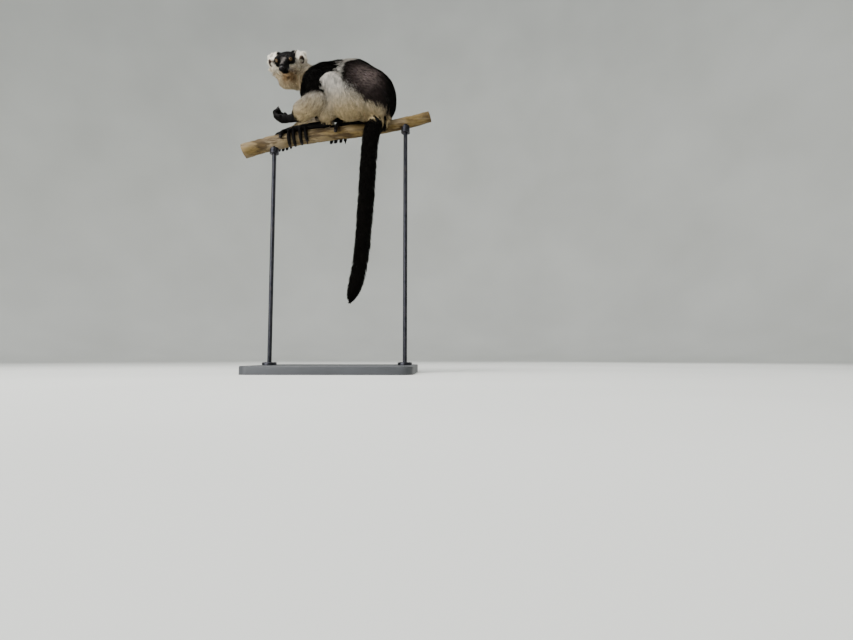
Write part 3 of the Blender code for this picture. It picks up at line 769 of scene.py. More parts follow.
# ---- Skin of the hands and feet -----------------------------------------------------------------
# Long black fingers and toes with soft pads. Both feet and the right hand grip the perch; the left hand
# is held up, cupped. Each digit runs over its knuckles and ends in a flat pad under its nail.
DIGIT_VOXEL, DIGIT_INSET = 0.0012, 0.0002
KNUCKLES = ((0.0, 1.0), (0.16, 0.95), (0.32, 1.0), (0.48, 0.86), (0.62, 0.96), (0.78, 0.80), (0.90, 0.90),
            (1.0, 0.80))     # share of the digit's length, share of its radius
HEELS = {"left": -0.034, "right": 0.030}
TOE_ROOTS = {"left": (-0.139, -0.126, -0.108, -0.093), "right": (-0.024, -0.013, 0.000, 0.011)}
BIG_TOES = {"left": -0.075, "right": 0.002}
LEFT_WRIST, RIGHT_WRIST, RIGHT_PALM = at(-0.120, -0.042, 0.026), at(-0.134, 0.006, 0.016), -0.159
NAILS = []


def note_nail(before, tip, radius, outward):
    """Remembers where a nail goes: on the outer side of a digit's last joint."""
    along = (tip - before).normalized()
    outward = (outward - along * outward.dot(along)).normalized()
    NAILS.append((tip + along * radius * 0.10 + outward * radius * 0.62, along, outward, radius))


def toe_round(x_root, x_tip, start, end, radius, way):
    """A digit that wraps the perch; its three joints swell a little and its tip is a round pad."""
    stations = []
    for share, swell in KNUCKLES:
        angle = way * (start + (end - start) * share)
        thick = (radius - DIGIT_INSET) * swell
        stations.append((around_perch(x_root + (x_tip - x_root) * share, angle, thick * 0.93), thick))
    tip = stations[-1][0]
    note_nail(stations[-2][0], tip, radius, tip - perch_axis(x_tip))
    return strand(*stations)


def foot_balls(side, way):
    """A foot along the perch: its sole in two strands, four toes over one side, the big toe the other."""
    heel_x, toe_roots, big_toe = HEELS[side], TOE_ROOTS[side], BIG_TOES[side]
    balls = strand((around_perch(heel_x + 0.004, way * 20, 0.012), 0.0100),
                   (around_perch(heel_x, way * 20, 0.009), 0.0097),
                   (around_perch(heel_x - 0.035, way * 24, 0.0085), 0.0091),
                   (around_perch(toe_roots[1], way * 26, 0.0070), 0.0081))
    balls += strand((around_perch(heel_x - 0.020, way * 12, 0.008), 0.0082),
                    (around_perch(toe_roots[2], way * 12, 0.0065), 0.0076),
                    (around_perch(toe_roots[0], way * 18, 0.0055), 0.0058))
    for k, (root, reach) in enumerate(zip(toe_roots, (150, 156, 152, 140))):
        balls += toe_round(root, root - 0.006 + 0.002 * k, 24, reach, 0.0057, way)
    balls += toe_round(big_toe, big_toe - 0.010, 5, 96, 0.0062, -way)
    return balls


def gripping_hand_balls():
    """The right hand: a palm on the perch, four fingers over its far side and the thumb over the near one."""
    palm = around_perch(RIGHT_PALM, -14, 0.0075)
    balls = strand((RIGHT_WRIST, 0.0112), (RIGHT_WRIST.lerp(palm, 0.5), 0.0104), (palm, 0.0101))
    balls += strand((around_perch(RIGHT_PALM + 0.010, -14, 0.007), 0.0081),
                    (around_perch(RIGHT_PALM - 0.018, -18, 0.0065), 0.0078))
    for k, reach in enumerate((118, 134, 138, 126)):
        x = RIGHT_PALM + 0.012 - 0.0115 * k
        balls += toe_round(x, x - 0.004, 14, reach, 0.0054, -1)
    return balls + toe_round(RIGHT_PALM + 0.006, RIGHT_PALM - 0.006, 2, 84, 0.0060, 1)


def cupped_finger(root, middle, bend, tip, radii, hub):
    """A curled digit through four joints; its nail faces away from the hub of the hand."""
    note_nail(bend, tip, radii[3], tip - hub)
    return strand((root, radii[0] - DIGIT_INSET), (root.lerp(middle, 0.55), radii[0] * 0.90 - DIGIT_INSET),
                  (middle, radii[1] - DIGIT_INSET), (middle.lerp(bend, 0.5), radii[1] * 0.88 - DIGIT_INSET),
                  (bend, radii[2] - DIGIT_INSET), (bend.lerp(tip, 0.55), radii[3] * 0.88 - DIGIT_INSET),
                  (tip, radii[3] * 0.94 - DIGIT_INSET))


def raised_hand_balls():
    """The left hand: a flat palm turned up, with four fingers and the thumb curled over it."""
    wrist = LEFT_WRIST
    palm = wrist + Vector((-0.028, 0.003, -0.001))
    balls = strand((wrist + Vector((0.006, 0, 0)), 0.0120), (wrist, 0.0120),
                   (wrist + Vector((-0.012, 0.001, -0.001)), 0.0118))
    balls += [ball(palm, (0.020, 0.0155, 0.0112)),
              ball(palm + Vector((-0.010, 0, 0.001)), (0.0125, 0.0175, 0.0108))]
    hub = palm + Vector((-0.006, 0, 0.016))
    for k, across in enumerate((-0.0135, -0.0045, 0.0045, 0.0130)):
        root = palm + Vector((-0.012, across, 0.000))
        lag = 0.003 * abs(k - 1.3)
        balls += cupped_finger(root, root + Vector((-0.014 + lag, 0, 0.004)),
                               root + Vector((-0.017 + lag, 0, 0.017 - lag)),
                               root + Vector((-0.008 + lag, 0.001, 0.027 - lag)),
                               (0.0068, 0.0062, 0.0058, 0.0054), hub)
    thumb = palm + Vector((0.008, 0.013, 0.004))
    tip = thumb + Vector((-0.013, 0.002, 0.018))
    middle = thumb + Vector((-0.005, 0.006, 0.011))
    balls += cupped_finger(thumb, thumb.lerp(middle, 0.6), middle, tip, (0.0068, 0.0064, 0.0060, 0.0052), hub)
    return balls


HANDS_SKIN = {name: fused(ball_mesh(balls, 2), DIGIT_VOXEL, 3) for name, balls in (
    ("foot_left", foot_balls("left", 1)), ("foot_right", foot_balls("right", -1)),
    ("hand_left", raised_hand_balls()), ("hand_right", gripping_hand_balls()))}

# ---- The whole skin -----------------------------------------------------------------------------
# Trunk, head, hands and feet are one closed hide, evened out where hands and feet join it. The places that
# the coat and its colours follow are measured on it: by solid, and from the eyes, the ears and the hands.
CUFF_INSIDE, CUFF_OUTSIDE = 0.014, 0.022


def eye_gap(points):
    """How far each point is from the nearer eyeball."""
    return np.min([np.linalg.norm(points - np.array(eye_centre(side)), axis=1) - EYE_RADIUS
                   for side in (1, -1)], axis=0)


def smooth_step(low, high, value):
    """0 at low and before it, 1 at high and beyond it, with a soft change between; low may be the larger."""
    share = np.clip((value - low) / (high - low), 0, 1)
    return share * share * (3 - 2 * share)


def whole_skin():
    """The union of the parts, with the steps at wrists and ankles evened out."""
    mesh = combined(BODY_SKIN, HEAD_SKIN, "UNION")
    for part in HANDS_SKIN.values():
        mesh = combined(mesh, part, "UNION")
    points = points_of(mesh)
    cuffs = np.array([LEFT_WRIST + Vector((0.006, 0, 0)), RIGHT_WRIST, around_perch(HEELS["left"], 20, 0.012),
                      around_perch(HEELS["right"], -20, 0.012)])
    away = np.linalg.norm(points[:, None] - cuffs[None], axis=2).min(1)
    move_points(mesh, spread(points, edges_of(mesh), 30, hold=smooth_step(CUFF_INSIDE, CUFF_OUTSIDE, away)))
    return mesh


SKIN = whole_skin()
SKIN_POINTS, SKIN_NORMALS, SKIN_EDGES = points_of(SKIN), normals_of(SKIN), edges_of(SKIN)
SKIN_TREE = tree_of(SKIN_POINTS)
SKIN_REGION = region_of(SKIN_POINTS)
KINDS = [kind_of(name) for name in FLESH]
SKIN_KIND = np.array(KINDS)[SKIN_REGION]
EYE_GAP = eye_gap(SKIN_POINTS)
LEFT, FORWARD, UP = in_head(SKIN_POINTS).T
BARE_GAP = nearest(HAND_TREE, SKIN_POINTS)[1]


def off_gaze():
    """The angle in degrees between each skin point and the nearer eye's gaze, seen from that eye."""
    angles = []
    for side in (1, -1):
        out = unit(SKIN_POINTS - np.array(eye_centre(side)))
        angles.append(np.degrees(np.arccos(np.clip(out @ np.array(eye_axis(side)), -1, 1))))
    return np.where(LEFT > 0, angles[0], angles[1])


OFF_GAZE = off_gaze()


def in_ear():
    """How deep each skin point lies in an ear's cup: 1 at its centre, 0 at its rim, less outside."""
    depths = []
    for side in (1, -1):
        to_unit = np.array(ball(Vector(), EAR_CUP_RADII, ear_frame(side)).to_3x3().inverted()).T
        depths.append(1 - np.linalg.norm((SKIN_POINTS - np.array(ear_cup_at(side))) @ to_unit, axis=1))
    return np.max(depths, axis=0)


IN_EAR = in_ear()

# ---- Depth of the coat --------------------------------------------------------------------------
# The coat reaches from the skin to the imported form. It is close on the muzzle, lids, hands and feet, fairly
# close on the crown, and deep on ruff, nape and trunk.
CROWN = smooth_step(0.042, 0.034, np.abs(LEFT)) * smooth_step(-0.004, 0.004, UP)
CROWN *= smooth_step(-0.080, -0.065, FORWARD)
LEAST_DEPTH, MOST_DEPTH, HAND_DEPTH, CLOSE_DEPTH, CROWN_DEPTH = 0.0004, 0.030, 0.0006, 0.0008, 0.0075
WRIST_SLOPE, LID_SLOPE, EAR_RIM_DEPTH, EAR_SLOPE = 0.35, 0.28, 0.0015, 0.009


def depth_of_coat():
    """How far the coat's outline stands off the skin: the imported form, rounded out with wool."""
    wool = ball_mesh([head_ball(0, -0.0640, -0.0240, (0.0500, 0.0280, 0.0340)),            # behind the ears
                      head_ball(0, -0.0700, -0.0500, (0.0400, 0.0320, 0.0320)),            # nape
                      head_ball(-0.0040, -0.0520, -0.0560, (0.0400, 0.0320, 0.0295)),      # throat
                      head_ball(0, -0.0480, 0.0000, (0.0400, 0.0260, 0.0165))])            # crown
    outline = fused(combined(fused(joined(FLESH), BODY_VOXEL, 2), wool, "UNION"), BODY_VOXEL, 6)
    faces = [tuple(face.vertices) for face in outline.polygons]
    tree = bvhtree.BVHTree.FromPolygons([tuple(p) for p in points_of(outline)], faces)
    depth = np.empty(len(SKIN_POINTS))
    for k, (point, normal) in enumerate(zip(SKIN_POINTS, SKIN_NORMALS)):
        gap = tree.ray_cast(Vector(point) + Vector(normal) * 1e-4, Vector(normal), 0.05)[3]
        depth[k] = gap if gap is not None else tree.find_nearest(Vector(point))[3]
    depth = np.clip(depth, LEAST_DEPTH, MOST_DEPTH)
    depth[np.isin(SKIN_KIND, ("hand", "foot"))] = HAND_DEPTH
    depth = np.minimum(depth, CLOSE_DEPTH + WRIST_SLOPE * BARE_GAP)
    muzzle = smooth_step(-0.024, -0.006, FORWARD) * smooth_step(0.036, 0.027, np.abs(LEFT))
    depth = np.minimum(depth, CLOSE_DEPTH + MOST_DEPTH * (1 - muzzle))
    depth = depth * (1 - CROWN) + np.minimum(depth, CROWN_DEPTH) * CROWN
    depth = np.minimum(depth, LEAST_DEPTH + LID_SLOPE * np.maximum(EYE_GAP - 0.001, 0))
    depth = np.minimum(depth, EAR_RIM_DEPTH + EAR_SLOPE * np.clip(-IN_EAR, 0, 3))
    return spread(depth, SKIN_EDGES, 8)[:, 0]


COAT_GAP = depth_of_coat()

# ---- Markings -----------------------------------------------------------------------------------
# Black crown, face, nape, shoulders, belly, rump, tail, hands and feet; off-white ruff, forearms, shins,
# knees and belt, warmer and tan below; a brown-black patch on hip and thigh with a speckled edge, lighter
# at its middle partly with painted sheen. Painted shade darkens the white in patches and on the arms, and
# widens the black on the face's far side.
WOOL_WHITE, WOOL_LOW, RUFF_WHITE, THROAT_TAN = "#E6DFD6", "#D0B98E", "#F2EBDD", "#B89F73"
COAL, CROWN_BLACK, BRIDGE_SHEEN_GREY, CHIN_BROWN = "#100E0C", "#0D0B0B", "#65605D", "#8A6A45"
THIGH_DARK, THIGH_BROWN_SHEEN = "#2C2423", "#B09D99"
# The borders: the dark patch's lower edge as (x, height), the others' as (height, x).
PATCH_EDGE = ((0.010, 0.180), (0.015, 0.145), (0.020, 0.118), (0.027, 0.102), (0.035, 0.088), (0.046, 0.078),
              (0.065, 0.067), (0.076, 0.055), (0.090, 0.047), (0.112, 0.043), (0.125, 0.042), (0.137, 0.041),
              (0.147, 0.045), (0.153, 0.030), (0.162, 0.000))
BELT_FRONT = ((0.100, 0.004), (0.147, 0.013), (0.176, 0.017), (0.190, 0.012), (0.208, 0.006))
BELT_BACK = ((0.100, 0.016), (0.156, 0.020), (0.173, 0.024), (0.180, 0.037), (0.187, 0.053), (0.208, 0.055))
RUFF_BACK = ((0.060, -0.112), (0.083, -0.109), (0.112, -0.104), (0.135, -0.102), (0.152, -0.088),
             (0.200, -0.082))
ELBOW_LINE, CUFF, CUFF_REACH = 0.069, 0.012, 0.045
ELBOWS = {"left": at(-0.050, -0.074, 0.060), "right": at(-0.056, 0.060, 0.056)}


def shade(hex_colour):
    """A hex value as linear red, green and blue."""
    return np.array(linear(hex_colour)[:3])


def blended(base, top, share):
    """One colour laid over another by a share at each point."""
    return base + (top - base) * np.asarray(share, float).reshape(-1, 1)


def face_colours(points, jitter):
    """White ruff and cheeks, tan throat, and a black crown, nape, eye rings and muzzle."""
    left, forward, up = in_head(points).T
    side = np.abs(left)
    far_cheek_shade = smooth_step(0.004, 0.016, -left) * (up < 0)
    # Pale: white above, tan from the cheeks down, brown under the chin.
    pale = blended(shade(RUFF_WHITE), shade(THROAT_TAN), 0.8 * smooth_step(0.000, -0.050, up))
    chin = smooth_step(-0.050, -0.012, forward) * smooth_step(-0.0235, -0.0300, up + jitter * 0.3)
    chin *= smooth_step(-0.078, -0.050, up)
    pale = blended(pale, shade(CHIN_BROWN), 0.85 * chin * smooth_step(0.030, 0.014, side))
    # Rings round the eyes: a little longer to the sides and to the back, and lower on the right cheek, where
    # the black stands for painted shade on the face's far side.
    outward = side - EYE_SIDE - 0.001
    outward = np.where(outward > 0, outward * 0.80, outward)
    eye_away = np.sqrt(outward ** 2 + ((forward + EYE_BACK) * 0.62) ** 2 + (up - 0.001) ** 2)
    goggle = smooth_step(0.0160, 0.0135, eye_away + jitter * 0.4 - 0.005 * far_cheek_shade)
    # Crown between the ears, a little broader on the left, and the nape behind it.
    crown = smooth_step(0.0290, 0.0255, side - 0.12 * left + jitter * 0.6) * smooth_step(-0.004, 0.003, up)
    crown *= smooth_step(-0.095, -0.085, forward)
    nape = smooth_step(0.028, 0.024, side + jitter) * smooth_step(-0.040, -0.060, forward)
    nape *= smooth_step(-0.05, -0.03, up)
    # Muzzle down to the lip, its edge running back between the eyes and wider on the right, far side as
    # painted shade, and a grey streak along its bridge as painted sheen.
    width = 0.0095 + 0.0040 * smooth_step(0.0, 0.008, -left)
    edge = -0.003 + 4.2 * np.maximum(side - width - 0.02 * smooth_step(-0.014, -0.009, up), 0)
    muzzle = smooth_step(-0.002, 0.003, forward - edge + jitter * 0.6) * smooth_step(-0.0345, -0.0310, up)
    # Painted sheen: short black hair on the bridge, painted grey where light glances off it.
    bridge = smooth_step(0.0090, 0.0040, side) * smooth_step(0.031, 0.020, forward)
    bridge *= smooth_step(-0.010, -0.001, forward) * smooth_step(-0.012, -0.008, up)
    black = blended(shade(CROWN_BLACK), shade(BRIDGE_SHEEN_GREY), bridge)
    return blended(pale, black, np.maximum.reduce([goggle, crown, muzzle, nape]))


def dark_coat(points, kinds, jitter):
    """Coal black, with a patch on hip and thigh that is browner and lighter at its middle: partly its own
    brown, partly painted sheen.
    """
    x, y, height = points[:, 0], points[:, 1], points[:, 2] - PERCH_HEIGHT
    patch = np.isin(kinds, ("thigh", "rump", "loin")) * smooth_step(0.196, 0.150, height)
    patch = patch * smooth_step(0.150, 0.118, x + 0.05 * (height - 0.10)) * smooth_step(0.016, 0.036, x)
    patch = patch * smooth_step(0.030, 0.055, np.abs(y))
    # Painted sheen: the patch is lighter mauve-brown round its middle, partly its own colour and partly light
    # caught by its hair.
    brown_and_sheen = np.exp(-((x - 0.088) / 0.034) ** 2 - ((height - 0.132) / 0.040) ** 2)
    brown_and_sheen = brown_and_sheen * (0.80 + 0.45 * ripple(points, 0.009, 17, 2) + 60 * jitter).clip(0.05, 1.25)
    brown = blended(shade(THIGH_DARK), shade(THIGH_BROWN_SHEEN), brown_and_sheen)
    return blended(np.tile(shade(COAL), (len(points), 1)), brown, patch)


def white_coat(points, kinds):
    """Off-white wool, warmer low down, mottled with painted shadows, and greyer on the arms as painted shade.
    """
    arm = np.isin(kinds, ("forearm", "upper_arm"))
    low = smooth_step(0.100, 0.012, points[:, 2] - PERCH_HEIGHT)
    white = blended(shade(WOOL_WHITE), shade(WOOL_LOW), low)
    # Painted shadows in patches over the white, and painted shade on the arms.
    mottle = smooth_step(0.1, 0.9, ripple(points, 0.012, 23, 3))
    return white * (1 - 0.26 * arm - 0.22 * mottle)[:, None]


def white_share(points, kinds, jitter):
    """Where trunk and limbs are white: haunch and thigh below the dark patch, belt and forearms."""
    x, y, height = points[:, 0], points[:, 1], points[:, 2] - PERCH_HEIGHT
    haunch = np.isin(kinds, ("thigh", "shin")) | (np.isin(kinds, ("rump", "loin")) & (np.abs(y) > 0.022))
    haunch |= ((kinds == "rump") & (x > 0.128)) | ((kinds == "tail") & (x > 0.138) & (height > -0.012))
    speckled = 1.2 + 2.8 * smooth_step(0.012, 0.030, x) * smooth_step(0.080, 0.050, x)
    below = smooth_step(-0.006, 0.006, between(PATCH_EDGE, x) - height + jitter * speckled)
    share = np.where(haunch, below, 0.0)
    belt = smooth_step(-0.003, 0.003, x - between(BELT_FRONT, height) + jitter * 0.6)
    belt *= smooth_step(-0.003, 0.003, between(BELT_BACK, height) - x + jitter * 0.6)
    belt *= np.isin(kinds, ("loin", "rump", "chest", "thigh")) * (height > 0.10)
    share = np.maximum(share, belt)
    arm = np.isin(kinds, ("forearm", "upper_arm"))
    share = np.where(arm, smooth_step(0.004, -0.004, height - ELBOW_LINE - jitter), share)
    # The left forearm ends in a black cuff over the wrist.
    from_wrist = points - np.array(LEFT_WRIST)
    up_arm = from_wrist @ np.array((ELBOWS["left"] - LEFT_WRIST).normalized())
    beyond = np.where((np.linalg.norm(from_wrist, axis=1) < CUFF_REACH) & (y < -0.020), up_arm, 1.0)
    return share * smooth_step(CUFF - 0.003, CUFF + 0.003, beyond + jitter)


def markings(points, kinds, jitter=0.0):
    """The coat's linear colour at places on its surface; jitter moves the borders, in metres."""
    points = points + (ripple(points, 0.022, 11, 2) * 0.0018)[:, None]
    x, height = points[:, 0], points[:, 2] - PERCH_HEIGHT
    dark, white = dark_coat(points, kinds, jitter), white_coat(points, kinds)
    coat = blended(dark, white, white_share(points, kinds, jitter))
    face = np.isin(kinds, ("head", "ruff", "lower_jaw", "ear", "nose", "neck"))
    ruff_back = smooth_step(-0.003, 0.004, x - between(RUFF_BACK, height) + jitter * 0.7) * (kinds == "neck")
    face_coat = blended(face_colours(points, jitter), shade(COAL), ruff_back)
    coat = np.where(face[:, None], face_coat, coat)
    coat[np.isin(kinds, ("hand", "foot"))] = shade(COAL)
    return coat


# ---- Lie of the coat ----------------------------------------------------------------------------
# Hair lies back along the trunk and down its sides, down the limbs to wrist and ankle, along the tail to
# its tip, and back from the nose; round the face it stands out as the ruff.
KNEES = {"left": at(-0.008, -0.074, 0.106), "right": at(-0.002, 0.076, 0.112)}
SHOULDERS = {"left": at(-0.062, -0.044, 0.130), "right": at(-0.066, 0.046, 0.134)}
WRISTS = {"left": LEFT_WRIST, "right": RIGHT_WRIST}
ANKLES = {"left": around_perch(-0.036, 26, 0.020), "right": around_perch(0.030, -26, 0.020)}
HAIR_LENGTH = {"rump": 0.026, "loin": 0.024, "chest": 0.024, "neck": 0.026, "thigh": 0.024, "shin": 0.020,
               "upper_arm": 0.022, "forearm": 0.021, "tail": 0.032, "ruff": 0.032, "head": 0.012,
               "lower_jaw": 0.006, "ear": 0.007, "nose": 0.002, "hand": 0.0050, "foot": 0.0050}
MUZZLE_HAIR, FACE_HAIR, CROWN_HAIR, EAR_HAIR, RUFF_HAIR, MOST_HAIR = 0.0024, 0.006, 0.013, 0.005, 0.034, 0.036


def lie_on_head():
    """Back from the nose, out over the cheeks into the ruff, and away from the eyes."""
    out = unit(np.stack([LEFT, np.zeros_like(LEFT), UP + 0.014], 1))
    cheek = smooth_step(0.004, -0.030, FORWARD)[:, None]
    face = np.stack([0.25 * np.sign(LEFT), -np.ones_like(LEFT), 0.15 + 0 * LEFT], 1)
    way = face * (1 - cheek) + (0.8 * out + np.array([0, -0.75, -0.20])) * cheek
    on_crown = smooth_step(-0.004, 0.008, UP)[:, None]
    way = way * (1 - on_crown) + np.array([0, -1.0, 0.0]) * on_crown
    round_eye = smooth_step(0.010, 0.002, EYE_GAP)[:, None]
    centres = np.array([eye_centre(1), eye_centre(-1)])
    from_eye = SKIN_POINTS - centres[np.linalg.norm(SKIN_POINTS[:, None] - centres, axis=2).argmin(1)]
    return (way * (1 - round_eye)) @ HEAD_AXES.T + unit(from_eye) * round_eye


def lie_of_coat():
    """A direction in the skin's surface at each of its points, evened out over the borders."""
    way = lie_on_head()
    flank = np.clip(np.abs(SKIN_POINTS[:, 1]) / 0.08, 0, 1)
    back = smooth_step(0.05, 0.15, SKIN_POINTS[:, 0])
    trunk = np.stack([1 - 0.65 * back, 0.2 * np.sign(SKIN_POINTS[:, 1]) * (1 - back),
                      -0.15 - 0.5 * flank - 0.8 * back], 1)
    limbs = {"shin": (KNEES, ANKLES), "upper_arm": (SHOULDERS, ELBOWS), "forearm": (ELBOWS, WRISTS)}
    for index, name in enumerate(FLESH):
        here = SKIN_REGION == index
        kind, which = kind_of(name), name.rsplit("_", 1)[-1]
        if kind in ("rump", "loin", "chest"):
            way[here] = trunk[here]
        elif kind == "neck":
            way[here] = unit(np.array(at(-0.07, 0, 0.12) - on_head(0, -0.07, -0.03)))
        elif kind == "thigh":
            share = smooth_step(-0.02, 0.08, SKIN_POINTS[here, 0])[:, None]
            way[here] = (1 - share) * np.array([-0.1, 0, -1.0]) + share * np.array([0.55, 0, -0.9])
        elif kind in limbs:
            start, end = limbs[kind]
            way[here] = end[which] - start[which]
        elif kind == "tail":
            way[here] = np.array([-0.10, 0, -1.0])
        elif kind in ("hand", "foot"):
            way[here] = np.array([-0.8, 0, -0.6]) if name != "hand_left" else np.array([-1.0, 0, 0.3])
    way = unit(way)
    for _ in range(4):
        way = spread(way, SKIN_EDGES, 5)
        way -= SKIN_NORMALS * (way * SKIN_NORMALS).sum(1, keepdims=True)
        way = unit(way)
    return way


def hair_lengths():
    """Short on the face, hands and feet, growing longer away from them; longest in ruff and tail."""
    length = np.array([HAIR_LENGTH[kind] for kind in KINDS])[SKIN_REGION]
    side = np.abs(LEFT)
    on_muzzle = smooth_step(-0.014, 0.002, FORWARD - 2.2 * np.maximum(side - 0.0100, 0))
    to_ruff = np.maximum(side - 0.020, 0) + np.maximum(-0.026 - UP, 0) + 0.5 * np.maximum(-0.040 - FORWARD, 0)
    on_face = MUZZLE_HAIR * on_muzzle + (1 - on_muzzle) * np.clip(FACE_HAIR + to_ruff, FACE_HAIR, RUFF_HAIR)
    length = np.where(np.isin(SKIN_KIND, ("head", "lower_jaw", "nose")), on_face, length)
    length = np.minimum(length, 0.0012 + 0.5 * np.maximum(EYE_GAP - 0.0008, 0))
    length = np.minimum(length, 0.0045 + 0.45 * BARE_GAP)
    length = length * (1 - CROWN) + np.minimum(length, CROWN_HAIR) * CROWN
    length = np.maximum(length, np.minimum(1.25 * COAT_GAP, MOST_HAIR))
    length = np.where(IN_EAR > -0.45, np.minimum(length, EAR_HAIR), length)
    return spread(length, SKIN_EDGES, 8)[:, 0]


LIE = lie_of_coat()
LENGTH = hair_lengths()

# ---- Coat ---------------------------------------------------------------------------------------
# Locks of hair, each a thin closed spike that starts in the skin, is thickest a third of the way along,
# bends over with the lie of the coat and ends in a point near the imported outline. Neighbours lean together.
LOCK_FACES = np.array([(0, 2, 1), (0, 3, 2), (0, 1, 3), (1, 2, 4), (2, 3, 4), (3, 1, 4)])
# Painted shade at each lock's root and painted light at its tip.
LOCK_PAINTED_SHADE = np.array([0.78, 0.92, 0.92, 0.96, 1.06])     # darkest at the root, lightest at the tip
LOCK_PATCH = np.array([(0, -0.5), (-0.5, -0.1), (0.5, -0.1), (0, 0.1), (0, 0.5)]) * 0.003
ROOT_SINK, MIDDLE_AT, MIDDLE_LIFT = 0.0006, 0.36, 0.60
# A real hair is less than 0.1 mm across, too fine to show, so each lock is a tuft of many, about 1 mm broad.
WOOL_CLUMP = 5     # mm


def skin_triangles(mesh):
    """Each triangle's three vertices and three loops."""
    mesh.calc_loop_triangles()
    corners = np.empty(len(mesh.loop_triangles) * 3, np.int32)
    loops = corners.copy()
    mesh.loop_triangles.foreach_get("vertices", corners)
    mesh.loop_triangles.foreach_get("loops", loops)
    return corners.reshape(-1, 3), loops.reshape(-1, 3)


def unwrap_skin(mesh):
    """Unfolds the skin's own shape into flat islands and returns where each face corner lands."""
    holder = bpy.data.objects.new("unwrap", mesh)
    bpy.context.scene.collection.objects.link(holder)
    bpy.context.view_layer.objects.active = holder
    bpy.ops.object.mode_set(mode="EDIT")
    bpy.ops.mesh.select_all(action="SELECT")
    bpy.ops.uv.smart_project(angle_limit=math.radians(66), island_margin=0.002)
    bpy.ops.object.mode_set(mode="OBJECT")
    bpy.data.objects.remove(holder, do_unlink=True)
    return numbers(mesh.uv_layers[0].uv, "vector", 2)


SKIN_UV = unwrap_skin(SKIN)
TRIANGLES, TRIANGLE_LOOPS = skin_triangles(SKIN)
TRIANGLE_AREA = areas_of(SKIN_POINTS[TRIANGLES])


def over_skin(points, height):
    """Moves points to a height over the skin; returns them, the skin's normal and the nearest skin point."""
    index = nearest(SKIN_TREE, points)[0]
    normal = SKIN_NORMALS[index]
    level = ((points - SKIN_POINTS[index]) * normal).sum(1)
    return points + normal * (height - level)[:, None], normal, index


def hair_material():
    """Fine dry hair: dull white wool, and black hair with a faint gloss."""
    hair = new_material("lemur_hair", WOOL_WHITE, 0.8, more={"Specular IOR Level": 0.04})
    colour = add_node(hair, "Attribute", {"attribute_name": "hair_colour"}, {})
    clumps = grain(hair, WOOL_CLUMP, 4)
    fleck = add_node(hair, "ValToRGB", {"stops": [(0.3, 0.85), (0.7, 1.0)]}, {"Fac": clumps})
    add_node(hair, "Mix", {"data_type": "RGBA", "blend_type": "MULTIPLY"},
             {"Factor": 1.0, "A": colour, "B": fleck}, "Base Color")
    add_node(hair, "ValToRGB", {"stops": [(0.02, 0.6), (0.3, 0.9)]}, {"Fac": colour}, "Roughness")
    return hair


HAIR = hair_material()


def lock_mesh(name, verts, shades, uv):
    """Many five-point locks as one mesh, made in bulk."""
    count = len(verts)
    mesh = bpy.data.meshes.new(name)
    mesh.vertices.add(count * 5)
    mesh.vertices.foreach_set("co", verts.astype(np.float32).ravel())
    corners = (np.arange(count)[:, None, None] * 5 + LOCK_FACES).ravel().astype(np.int32)
    mesh.loops.add(len(corners))
    mesh.loops.foreach_set("vertex_index", corners)
    mesh.polygons.add(len(corners) // 3)
    mesh.polygons.foreach_set("loop_start", np.arange(0, len(corners), 3, dtype=np.int32))
    mesh.update(calc_edges=True)
    mesh.shade_smooth()
    set_attribute(mesh, "hair_colour", np.concatenate([shades, np.ones((count, 5, 1))], 2), "FLOAT_COLOR")
    layer = mesh.uv_layers.new(name="OFBake", do_init=False)
    layer.uv.foreach_set("vector", uv.reshape(-1, 2)[corners].astype(np.float32).ravel())
    return mesh


